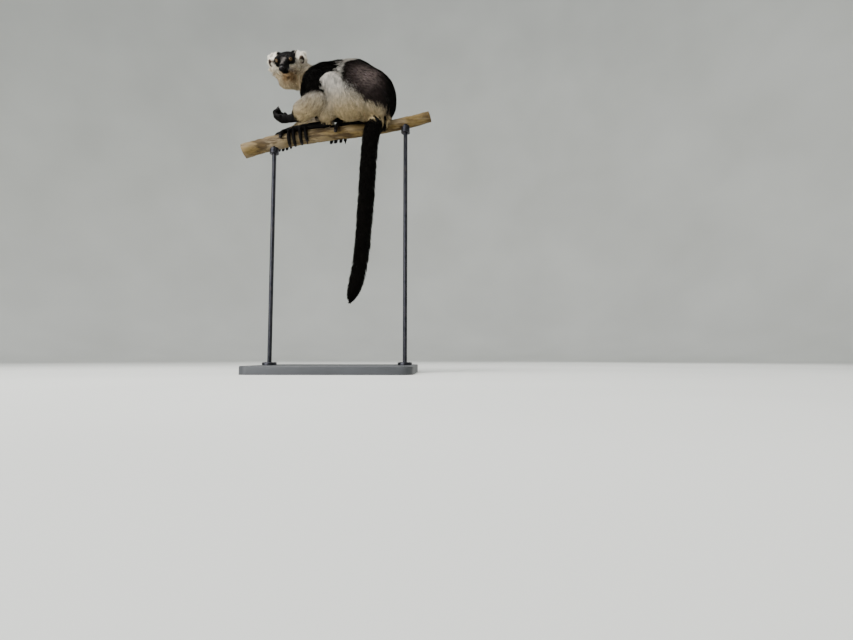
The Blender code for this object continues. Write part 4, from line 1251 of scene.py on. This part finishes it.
def coat_piece(name, weight, count, width, stand, curl, tuft, seed):
    """Grows locks on skin triangles, drawn by area and weight, and adds them as one piece.

    Stand is how far the tips reach of the coat's depth, and tuft how far apart the locks are that others
    lean towards.
    """
    draw = np.random.default_rng(seed)
    share = TRIANGLE_AREA * weight
    pick = draw.choice(len(share), count, p=share / share.sum())
    a, b = draw.random((2, count, 1))
    a, b = np.where(a + b > 1, 1 - a, a), np.where(a + b > 1, 1 - b, b)
    shares = np.concatenate([1 - a - b, a, b], 1)
    near = TRIANGLES[pick]

    def at_root(values):
        return (values.reshape(len(values), -1)[near] * shares[:, :, None]).sum(1)
    root, normal, lie = at_root(SKIN_POINTS), unit(at_root(SKIN_NORMALS)), unit(at_root(LIE))
    length = at_root(LENGTH)[:, 0] * draw.uniform(0.72, 1.12, count)
    gap = at_root(COAT_GAP)[:, 0]
    across = np.cross(normal, lie)
    lie = unit(lie + across * (draw.normal(0, curl, count) + 0.16 * ripple(root, 0.02, seed, 2))[:, None])
    reach = np.sqrt(np.maximum(length ** 2 - gap ** 2, (0.42 * length) ** 2))[:, None]
    middle_height = gap * MIDDLE_LIFT * draw.uniform(0.8, 1.1, count)
    middle, middle_normal, index = over_skin(root + lie * reach * MIDDLE_AT, middle_height)
    aside = across * reach * draw.normal(0, 0.6 * curl, count)[:, None]
    tip = over_skin(root + lie * reach + aside, gap * draw.uniform(*stand, count))[0]

    # Locks lean towards a leading one and share its tone, in broad tufts and again in small ones.
    spacing = math.sqrt((TRIANGLE_AREA * (weight > 0)).sum() / count)
    tone = np.ones(count)
    for pitch, pull in ((tuft, 0.34), (tuft * 0.4, 0.30)):
        lead = draw.choice(count, max(4, int(count * (spacing / pitch) ** 2)), replace=False)
        near_lead = nearest(tree_of(root[lead]), root)[0]
        leader = lead[near_lead]
        together = pull * draw.uniform(0.4, 1.4, count)[:, None]
        tip = tip + (tip[leader] - tip) * together
        middle = middle + (middle[leader] - middle) * together * 0.4
        tone *= draw.normal(1.0, 0.07, len(lead))[near_lead].clip(0.8, 1.2)
    heading = unit(tip - root)
    wide = unit(np.cross(middle_normal, heading))
    ridge = np.cross(wide, heading)
    half = 0.5 * width * draw.uniform(0.7, 1.25, count)[:, None] * np.clip(length / 0.012, 0.45, 1.0)[:, None]
    verts = np.stack([root - normal * ROOT_SINK, middle - wide * half - ridge * half * 0.25,
                      middle + wide * half - ridge * half * 0.25, middle + ridge * half * 0.6, tip], 1)

    kinds = np.where(SKIN_KIND[near[:, 0]] == "tail", "tail", SKIN_KIND[index])
    colour = markings(0.5 * (middle + tip), kinds, draw.normal(0, 0.0035, count))
    tone *= 1 + 0.08 * ripple(root, 0.012, seed + 3, 2) + draw.normal(0, 0.08, count)
    colour *= tone[:, None].clip(0.6, 1.4)
    root_uv = (SKIN_UV[TRIANGLE_LOOPS[pick]] * shares[:, :, None]).sum(1)
    # Each lock's colour with painted shade at its root and painted light at its tip.
    shades = colour[:, None, :] * LOCK_PAINTED_SHADE[None, :, None]
    piece = add_piece(name, lock_mesh(name, verts, shades, root_uv[:, None] + LOCK_PATCH), HAIR)


# Each piece: its name, the solids or kinds it grows on, how many locks and how broad they are in metres.
HEAD_KINDS = ("head", "lower_jaw", "nose", "ear", "ruff")
COATS = (("coat_rump", ("rump",), 25000, 0.0010), ("coat_back", ("loin",), 9000, 0.0010),
         ("coat_neck", ("neck",), 13000, 0.0009), ("coat_chest", ("chest",), 16000, 0.0010),
         ("coat_thigh_left", ("thigh_left",), 26000, 0.00095),
         ("coat_thigh_right", ("thigh_right",), 18000, 0.0010),
         ("coat_shins", ("shin",), 7000, 0.0009), ("coat_arms", ("upper_arm",), 14000, 0.0010),
         ("coat_forearms", ("forearm",), 17000, 0.0009), ("coat_tail", ("tail",), 25000, 0.0011),
         ("coat_ruff", HEAD_KINDS, 30000, 0.0008), ("coat_face", HEAD_KINDS, 32000, 0.0007),
         ("coat_hands_feet", ("hand", "foot"), 12000, 0.0007))
BODY_LOCKS, HEAD_LOCKS = {"curl": 0.10, "tuft": 0.0065}, {"curl": 0.06, "tuft": 0.004}
BODY_STAND, HEAD_STAND, TAIL_STAND = (0.82, 1.12), (0.72, 1.0), (0.95, 1.22)
FACE_BACK, LID_HAIR_FROM, FIRST_SEED = -0.026, 49, 20


def backs_of_hands():
    """1 where short hair grows on hands and feet: on their outer sides and not over the nails."""
    points = SKIN_POINTS
    away = points - np.array([perch_axis(x) for x in points[:, 0]])
    raised = SKIN_REGION == FLESH.index("hand_left")
    away[raised] = points[raised] - np.array(LEFT_WRIST + Vector((-0.030, 0.003, 0.016)))
    outer = smooth_step(-0.05, 0.25, (unit(away) * SKIN_NORMALS).sum(1))
    tips = tree_of([place for place, _, _, _ in NAILS])
    return outer * smooth_step(0.006, 0.011, nearest(tips, points)[1])


def hair_weight(name, parts):
    """How thickly a piece's locks grow on each triangle: none on eyes, lid rims and in the ear cups."""
    on_part = np.isin(FLESH, parts) | np.isin(KINDS, parts)
    weight = on_part[SKIN_REGION[TRIANGLES[:, 0]]] * (EYE_GAP[TRIANGLES].min(1) > 0.0005)
    weight = weight * (IN_EAR[TRIANGLES].max(1) < -0.05)
    weight = weight * ((EYE_GAP[TRIANGLES].max(1) > 0.004) | (OFF_GAZE[TRIANGLES].min(1) > LID_HAIR_FROM))
    if parts == HEAD_KINDS:
        on_face = FORWARD[TRIANGLES].mean(1) > FACE_BACK
        weight = weight * (on_face if name == "coat_face" else ~on_face)
        weight = weight * np.clip(0.010 / LENGTH[TRIANGLES].mean(1), 0.6, 2.5)
    if "hand" in parts:
        weight = weight * HAND_BACKS[TRIANGLES].mean(1)
    return weight


HAND_BACKS = backs_of_hands()
for number, (name, parts, count, width) in enumerate(COATS):
    of_head = parts == HEAD_KINDS
    stand = TAIL_STAND if name == "coat_tail" else HEAD_STAND if of_head else BODY_STAND
    coat_piece(name, hair_weight(name, parts), count, width, stand, seed=FIRST_SEED + number,
               **(HEAD_LOCKS if of_head else BODY_LOCKS))

# ---- The visible skin ---------------------------------------------------------------------------
# Black leathery skin with fine creases, a little greasy on fingers, lids and lips and pinkish brown inside
# the ears, with painted shade deep in each ear's cup. Under the coat it is dull, takes the coat's colour and
# is darkened a little as painted shade. It replaces all the imported flesh.
SKIN_FACES = 190000
SKIN_BLACK, EAR_PINK, EAR_CANAL_SHADE, LID_BLACK = "#0F0D0D", "#7A6454", "#2A201C", "#090808"
SKIN_MOTTLE, SKIN_SHEEN = 7, 3     # mm
SKIN_CREASE = 0.8                  # mm, drawn coarser than real creases, to show


def thinned(mesh, most_faces, ease):
    """The mesh with fewer faces, taken first where ease, from 0 to 1, is high."""
    mesh.calc_loop_triangles()
    holder = bpy.data.objects.new("holder", mesh)
    bpy.context.scene.collection.objects.link(holder)
    group = holder.vertex_groups.new(name="ease")
    for level in range(1, 11):
        group.add(np.flatnonzero(np.round(ease * 10) == level).tolist(), level / 10, "REPLACE")
    modifier = holder.modifiers.new("thin", "DECIMATE")
    modifier.ratio = min(1.0, most_faces / len(mesh.loop_triangles))
    modifier.vertex_group, modifier.vertex_group_factor = "ease", 3.0
    graph = bpy.context.evaluated_depsgraph_get()
    result = bpy.data.meshes.new_from_object(holder.evaluated_get(graph))
    bpy.data.objects.remove(holder, do_unlink=True)
    return result


def leathery_skin():
    """Dry hide with a faint gloss: its colour wanders a little over a fine network of creases."""
    skin = new_material("black_leathery_skin", SKIN_BLACK, 0.6, more={"Specular IOR Level": 0.07})
    colour = add_node(skin, "Attribute", {"attribute_name": "hair_colour"}, {})
    mottle = grain(skin, SKIN_MOTTLE, 4)
    tone = add_node(skin, "ValToRGB", {"stops": [(0.3, 0.80), (0.7, 1.0)]}, {"Fac": mottle})
    add_node(skin, "Mix", {"data_type": "RGBA", "blend_type": "MULTIPLY"},
             {"Factor": 1.0, "A": colour, "B": tone}, "Base Color")
    sheen = grain(skin, SKIN_SHEEN, 3)
    add_node(skin, "ValToRGB", {"stops": [(0.3, 0.50), (0.7, 0.70)]}, {"Fac": sheen}, "Roughness")
    creases = grain(skin, SKIN_CREASE, 4)
    add_node(skin, "Bump", {}, {"Height": creases, "Distance": 0.00022, "Strength": 1.0}, "Normal")
    return skin


def skin_colours(points, index):
    """The coat's colours carried down to the skin, darkened a little under the coat as painted shade, and
    bare skin on hands, feet, lids and in the ears, with painted shade deep in the ears.
    """
    colour = markings(points + SKIN_NORMALS[index] * COAT_GAP[index][:, None], SKIN_KIND[index])
    # Painted shade: skin under the coat is darkened a little.
    covered = smooth_step(0.0015, 0.005, COAT_GAP[index])[:, None]
    colour = colour * (1 - 0.15 * covered)
    bare = np.isin(SKIN_KIND[index], ("hand", "foot"))
    colour = blended(colour, shade(SKIN_BLACK), bare.astype(float))
    colour = blended(colour, shade(EAR_PINK), 0.85 * smooth_step(-0.30, -0.05, IN_EAR[index]))
    # Painted shade: the back of each ear's cup, towards the canal, is darkened.
    colour = blended(colour, shade(EAR_CANAL_SHADE), smooth_step(-0.025, -0.030, FORWARD[index] + 0.12 * UP[index])
                     * (IN_EAR[index] > -0.20))
    rim = smooth_step(54, 46, OFF_GAZE[index]) * (EYE_GAP[index] < 0.003)
    colour = blended(colour, shade(LID_BLACK), rim)
    return np.concatenate([colour, np.ones((len(colour), 1))], 1)


def visible_skin():
    """The whole skin with fewer faces, most of them kept on face, hands and feet."""
    face = np.isin(SKIN_KIND, ("head", "lower_jaw", "nose", "ear")) & (COAT_GAP < 0.006) | (EYE_GAP < 0.012)
    bare = np.isin(SKIN_KIND, ("hand", "foot"))
    ease = spread(np.where(face, 0.0, np.where(bare, 0.5, 0.7)), SKIN_EDGES, 3)[:, 0]
    mesh = thinned(SKIN, SKIN_FACES, ease)
    mesh.name = "lemur_skin"
    points = points_of(mesh)
    set_attribute(mesh, "hair_colour", skin_colours(points, nearest(SKIN_TREE, points)[0]), "FLOAT_COLOR")
    piece = add_piece("lemur_skin", mesh, leathery_skin())
    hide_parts(*[name for name in FLESH if name != "nose"])


visible_skin()

# ---- Nose ---------------------------------------------------------------------------------------
# A bare, wet, pebbled black pad at the tip of the muzzle, with a comma-shaped nostril on each side and a
# groove down to the lip.
NOSE_BLACK = "#121011"
NOSE_MOTTLE, PEBBLE_SIZE = 2, 0.7     # mm


def wet_leather():
    """Black nose leather: pebbled, a little lighter in patches, with a thin film of moisture."""
    leather = new_material("wet_nose_leather", NOSE_BLACK, 0.45, more={
        "Specular IOR Level": 0.08, "Coat Weight": 0.05, "Coat Roughness": 0.15})
    blacks = [(0.3, "#0C0A0B"), (0.7, "#1E1A1B")]
    add_node(leather, "ValToRGB", {"stops": blacks}, {"Fac": grain(leather, NOSE_MOTTLE, 3)}, "Base Color")
    place = add_node(leather, "TexCoord", {}, {})
    pebbles = add_node(leather, "TexVoronoi", {"feature": "F1"},
                       {"Vector": (place, "Object"), "Scale": 1000 / PEBBLE_SIZE})
    add_node(leather, "Bump", {}, {"Height": pebbles, "Distance": 0.00004, "Strength": 1.0}, "Normal")
    return leather


def nose():
    """The pad as fused balls, with nostrils and the groove cut into it along strands."""
    balls = [head_ball(0, 0.0440, -0.0158, (0.0066, 0.0046, 0.0052)),
             head_ball(0, 0.0405, -0.0128, (0.0062, 0.0052, 0.0030)),
             head_ball(0, 0.0432, -0.0195, (0.0018, 0.0030, 0.0032))]
    balls += both(0.0045, 0.0436, -0.0168, (0.0036, 0.0044, 0.0040))
    mesh = fused(ball_mesh(balls), 0.0004, 3)
    cuts = []
    for side in (1, -1):
        cuts += strand((on_head(side * 0.0034, 0.0490, -0.0172), 0.0015),
                       (on_head(side * 0.0040, 0.0450, -0.0170), 0.0011))
        cuts += strand((on_head(side * 0.0040, 0.0480, -0.0176), 0.0009),
                       (on_head(side * 0.0066, 0.0462, -0.0184), 0.0006),
                       (on_head(side * 0.0084, 0.0440, -0.0180), 0.0004))
    cuts += strand((on_head(0, 0.0486, -0.0185), 0.0005), (on_head(0, 0.0476, -0.0215), 0.0005),
                   (on_head(0, 0.0462, -0.0250), 0.0005))
    mesh = combined(mesh, fused(ball_mesh(cuts, 2), 0.00025, 1), "DIFFERENCE")
    piece = add_piece("nose_leather", mesh, wet_leather())
    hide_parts("nose")


nose()

# ---- Eyes ---------------------------------------------------------------------------------------
# Round eyes: a dark pupil, a fibrous amber-brown iris with a black rim, a dark brown outer ball, and the
# wet bulge of the cornea over the iris. The iris is painted darker and browner than its real yellow-orange,
# as painted shade over the eyes. Each is a whole ball in its socket.
IRIS_ANGLE, PUPIL_ANGLE, CORNEA_RISE = 42.0, 13.0, 0.0008
# Iris colours darkened as painted shade: the real iris is a brighter yellow-orange.
IRIS_INNER, IRIS_MIDDLE, IRIS_OUTER, IRIS_RIM = "#6B4F26", "#573F1E", "#34240F", "#0B0806"
EYE_BROWN = "#1A100C"


def wet_eye():
    """The eye under its wet film: rings of colour out from the pupil, streaked by the fibres of the iris."""
    eye = new_material("wet_amber_eye", IRIS_OUTER, 0.06, more={
        "Specular IOR Level": 0.3, "Coat Weight": 0.35, "Coat Roughness": 0.02})
    around = add_node(eye, "Attribute", {"attribute_name": "iris_fibre"}, {})
    fibre = add_node(eye, "TexNoise", {}, {"Vector": (around, "Vector"), "Scale": 1.0, "Detail": 3.0})
    angle = add_node(eye, "Attribute", {"attribute_name": "gaze_angle"}, {})
    wobble = add_node(eye, "Math", {"operation": "MULTIPLY_ADD"}, {0: fibre, 1: 0.05, 2: (angle, "Fac")})
    rings = [(PUPIL_ANGLE / 90 + 0.015, "#020202"), (PUPIL_ANGLE / 90 + 0.045, IRIS_INNER),
             (0.30, IRIS_MIDDLE), (IRIS_ANGLE / 90 - 0.02, IRIS_OUTER), (IRIS_ANGLE / 90 + 0.035, IRIS_RIM),
             (0.62, EYE_BROWN)]
    colour = add_node(eye, "ValToRGB", {"stops": rings}, {"Fac": wobble})
    streak = add_node(eye, "ValToRGB", {"stops": [(0.3, 0.62), (0.7, 1.0)]}, {"Fac": fibre})
    add_node(eye, "Mix", {"data_type": "RGBA", "blend_type": "MULTIPLY"},
             {"Factor": 1.0, "A": colour, "B": streak}, "Base Color")
    return eye


WET_EYE = wet_eye()


def eyeball(side, name):
    """A ball with its pole on the gaze, raised over the iris for the cornea."""
    bm = bmesh.new()
    bmesh.ops.create_uvsphere(bm, u_segments=64, v_segments=48, radius=1.0)
    mesh = mesh_from(bm, name)
    local = points_of(mesh)
    angle = np.degrees(np.arccos(np.clip(local[:, 2], -1, 1)))
    around = np.arctan2(local[:, 1], local[:, 0])
    rise = CORNEA_RISE * np.cos(np.radians(np.clip(angle / (IRIS_ANGLE + 4), 0, 1) * 90)) ** 2
    axes = np.array(eye_frame(side).to_3x3())[:, [0, 2, 1]]
    move_points(mesh, (local * (EYE_RADIUS + rise)[:, None]) @ axes.T + np.array(eye_centre(side)))
    if np.linalg.det(axes) < 0:
        mesh.flip_normals()
    set_attribute(mesh, "gaze_angle", angle / 90)
    fibres = np.stack([9 * np.cos(around), 9 * np.sin(around), angle / 30], 1)
    set_attribute(mesh, "iris_fibre", fibres, "FLOAT_VECTOR")
    piece = add_piece(name, mesh, WET_EYE)
    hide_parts("eye_left" if side > 0 else "eye_right")


eyeball(1, "eyeball_left")
eyeball(-1, "eyeball_right")

# ---- Nails --------------------------------------------------------------------------------------
# Small arched plates of dark horn on the backs of the fingers and toes; the toe beside each big toe has
# the grooming claw instead, narrow and upright.
NAIL_THICK, NAIL_ROWS, NAIL_ARCH = 0.0005, 8, 75      # metres, faces each way, degrees to each side
NAIL_SHAPE, CLAW_SHAPE = (0.72, 1.65), (0.42, 2.3)    # half width and length, in radii of the digit
GROOMING_CLAWS = (3, 8)                               # places in NAILS
HORN_STREAK = 1.2                                     # mm, drawn coarser than real streaks, to show


def dark_horn():
    """Horn: nearly black, faintly streaked, with a dull polish."""
    horn = new_material("dark_horn", "#1B1615", 0.45, more={"Specular IOR Level": 0.3})
    streak = grain(horn, HORN_STREAK, 3)
    add_node(horn, "ValToRGB", {"stops": [(0.3, "#120F0E"), (0.7, "#2C2421")]}, {"Fac": streak}, "Base Color")
    add_node(horn, "Bump", {}, {"Height": streak, "Distance": 0.00004, "Strength": 1.0}, "Normal")
    return horn


def nail_mesh(place, along, outward, radius, claw):
    """An arched plate that narrows and bends down to its tip; a claw is narrower and rises instead."""
    across = along.cross(outward).normalized()
    width, length = CLAW_SHAPE if claw else NAIL_SHAPE
    arch = [math.radians(NAIL_ARCH * (2 * k / NAIL_ROWS - 1)) for k in range(NAIL_ROWS + 1)]
    bm = bmesh.new()
    rows = []
    for i in range(NAIL_ROWS + 1):
        share = i / NAIL_ROWS
        if claw:
            lift, narrow = 0.10 + 0.75 * share, width * (1 - 0.55 * share ** 2)
        else:
            lift = 0.08 + 0.72 * share - 0.68 * share ** 2
            narrow = width * math.sqrt(1 - (max(share - 0.5, 0) / 0.52) ** 2)
        centre = place + along * radius * length * (share - 0.42) + outward * (radius * lift)
        rows.append([bm.verts.new(centre + across * radius * narrow * math.sin(t) * 1.05
                                  + outward * radius * narrow * 0.75 * (math.cos(t) - 1)) for t in arch])
    for a, b in zip(rows, rows[1:]):
        for k in range(NAIL_ROWS):
            bm.faces.new((a[k], a[k + 1], b[k + 1], b[k]))
    bmesh.ops.solidify(bm, geom=bm.faces[:], thickness=NAIL_THICK)
    bmesh.ops.recalc_face_normals(bm, faces=bm.faces)
    return bm


def nails():
    whole = bmesh.new()
    for number, (place, along, outward, radius) in enumerate(NAILS):
        take_in(whole, nail_mesh(place, along, outward, radius, claw=number in GROOMING_CLAWS))
    piece = add_piece("finger_and_toe_nails", whole, dark_horn())


nails()

# ---- Whiskers -----------------------------------------------------------------------------------
# Stiff black hairs in rows on the upper lip, with a few over each eye and on the chin.
WHISKER_RADIUS, WHISKER_SAG, WHISKER_STEPS = 0.00016, 0.22, 5     # a little thicker than real, to show
GLOSS_PATCH = 3                                                   # mm
# Each: its root's left, forward and up on the head, its length, and how far it points out, ahead and up.
LIP_WHISKERS = [(0.0110, 0.034 - 0.0065 * k, -0.0165 - 0.0024 * row, 0.030 - 0.002 * row, 1.0, 0.1, -0.35)
                for row in range(3) for k in range(4)]
BROW_WHISKERS = [(0.0150 + 0.003 * k, 0.0010, 0.0115, 0.020, 0.35, 0.5, 0.9) for k in range(3)]
CHIN_WHISKERS = [(0.0050, 0.026 - 0.007 * k, -0.0305, 0.014, 0.5, 0.2, -1.0) for k in range(2)]


def stiff_hair():
    """Smooth black hair that is glossier than the coat."""
    hair = new_material("stiff_black_hair", "#0F0D0C", 0.4)
    gloss = grain(hair, GLOSS_PATCH)
    add_node(hair, "ValToRGB", {"stops": [(0.3, 0.35), (0.7, 0.5)]}, {"Fac": gloss}, "Roughness")
    return hair


def whisker(bm, root, way, length):
    """A three-sided hair that thins to its tip and sags a little."""
    rings = []
    for k in range(WHISKER_STEPS + 1):
        share = k / WHISKER_STEPS
        centre = root + way * length * share + Vector((0, 0, -WHISKER_SAG * length * share ** 2))
        radius = WHISKER_RADIUS * (1 - 0.85 * share)
        sides = [Vector((math.cos(t), math.sin(t), 0)) for t in (0.3, 2.4, 4.5)]
        rings.append([bm.verts.new(centre + side.cross(way) * radius + side * radius) for side in sides])
    for a, b in zip(rings, rings[1:]):
        for k in range(3):
            bm.faces.new((a[k], a[(k + 1) % 3], b[(k + 1) % 3], b[k]))
    bm.faces.new(rings[0])
    bm.faces.new(rings[-1])


def whiskers():
    bm = bmesh.new()
    for side in (1, -1):
        for number, (left, forward, up, length, out, ahead, rise) in enumerate(
                LIP_WHISKERS + BROW_WHISKERS + CHIN_WHISKERS):
            index = SKIN_TREE.find(on_head(side * left, forward, up))[1]
            root = Vector(SKIN_POINTS[index].tolist()) - Vector(SKIN_NORMALS[index].tolist()) * 0.0008
            wander = 0.12 * math.sin(number * 2.3 + side)
            way = (HEAD.to_3x3() @ Vector((side * out, ahead + wander, rise + wander))).normalized()
            whisker(bm, root, way, length)
    bmesh.ops.recalc_face_normals(bm, faces=bm.faces)
    piece = add_piece("whiskers", bm, stiff_hair())


whiskers()

# ---- Floor, light and camera --------------------------------------------------------------------
# A pale seamless paper sweep, two large soft lamps and a weaker one behind, as in a small studio. The
# camera stands low in front of the animal's left side and looks slightly up.
CAMERA_PLACE, CAMERA_UP, CAMERA_TURN = (0.290, -1.364, 0.045), 4.29, 1.67
CAMERA_LENS = 20.68
PAPER, PAPER_CLOUD = "#D9DAD6", 900     # mm
FLOOR_RINGS, CURVE_RADIUS, WALL_HEIGHT = (1.0, 2.2, 3.4, 4.2), 1.6, 9.0


def paper_sweep():
    """Seamless paper, matt: a round floor that rises into a wall on every side."""
    paper = new_material("seamless_paper", PAPER, 0.95, more={"Specular IOR Level": 0.2})
    greys = [(0.3, "#D3D4D0"), (0.7, "#DEDFDB")]
    add_node(paper, "ValToRGB", {"stops": greys}, {"Fac": grain(paper, PAPER_CLOUD, 2)}, "Base Color")
    outline = [(radius, 0.0) for radius in FLOOR_RINGS]
    outline += [(FLOOR_RINGS[-1] + CURVE_RADIUS * math.sin(math.radians(t)),
                 CURVE_RADIUS - CURVE_RADIUS * math.cos(math.radians(t))) for t in range(9, 91, 9)]
    outline.append((FLOOR_RINGS[-1] + CURVE_RADIUS, WALL_HEIGHT))
    bm = bmesh.new()
    sides = 96
    rings = [[bm.verts.new((r * math.cos(2 * math.pi * k / sides), r * math.sin(2 * math.pi * k / sides), z))
              for k in range(sides)] for r, z in outline]
    centre = bm.verts.new((0, 0, 0))
    for k in range(sides):
        after = (k + 1) % sides
        bm.faces.new((centre, rings[0][k], rings[0][after]))
        for a, b in zip(rings, rings[1:]):
            bm.faces.new((a[k], b[k], b[after], a[after]))
    mesh = mesh_from(bm, "paper_sweep")
    mesh.materials.append(paper)
    mesh.shade_smooth()
    sweep = bpy.data.objects.new("paper_sweep", mesh)
    bpy.context.scene.collection.objects.link(sweep)


def soft_lamp(name, place, target, size, power, colour):
    """A round soft lamp turned to a target; its power is in watts."""
    lamp = bpy.data.lights.new(name, "AREA")
    lamp.shape, lamp.size, lamp.energy, lamp.color = "DISK", size, power, colour
    holder = bpy.data.objects.new(name, lamp)
    holder.location = place
    holder.rotation_euler = (Vector(target) - Vector(place)).to_track_quat("-Z", "Y").to_euler()
    bpy.context.scene.collection.objects.link(holder)


paper_sweep()
soft_lamp("top_lamp", (-0.7, -0.9, 2.9), (0, 0, 0.75), 1.5, 112, (1.0, 0.985, 0.96))
soft_lamp("side_lamp", (-1.9, -2.2, 1.1), (0, 0, 0.7), 1.4, 98, (0.98, 0.99, 1.0))
soft_lamp("back_lamp", (1.9, 1.9, 2.0), (0, 0, 0.7), 1.4, 34, (1.0, 0.99, 0.98))
world = bpy.data.worlds.new("studio_air")
world.use_nodes = True
air = world.node_tree.nodes["Background"].inputs
air["Color"].default_value, air["Strength"].default_value = (0.93, 0.96, 1.0, 1), 0.85
bpy.context.scene.world = world

lens = bpy.data.cameras.new("camera")
lens.lens, lens.sensor_width = CAMERA_LENS, 36.0
lens.clip_start, lens.clip_end = 0.01, 50.0
camera = bpy.data.objects.new("camera", lens)
camera.location = CAMERA_PLACE
camera.rotation_euler = (math.radians(90 + CAMERA_UP), 0, math.radians(CAMERA_TURN))
bpy.context.scene.collection.objects.link(camera)
bpy.context.scene.camera = camera
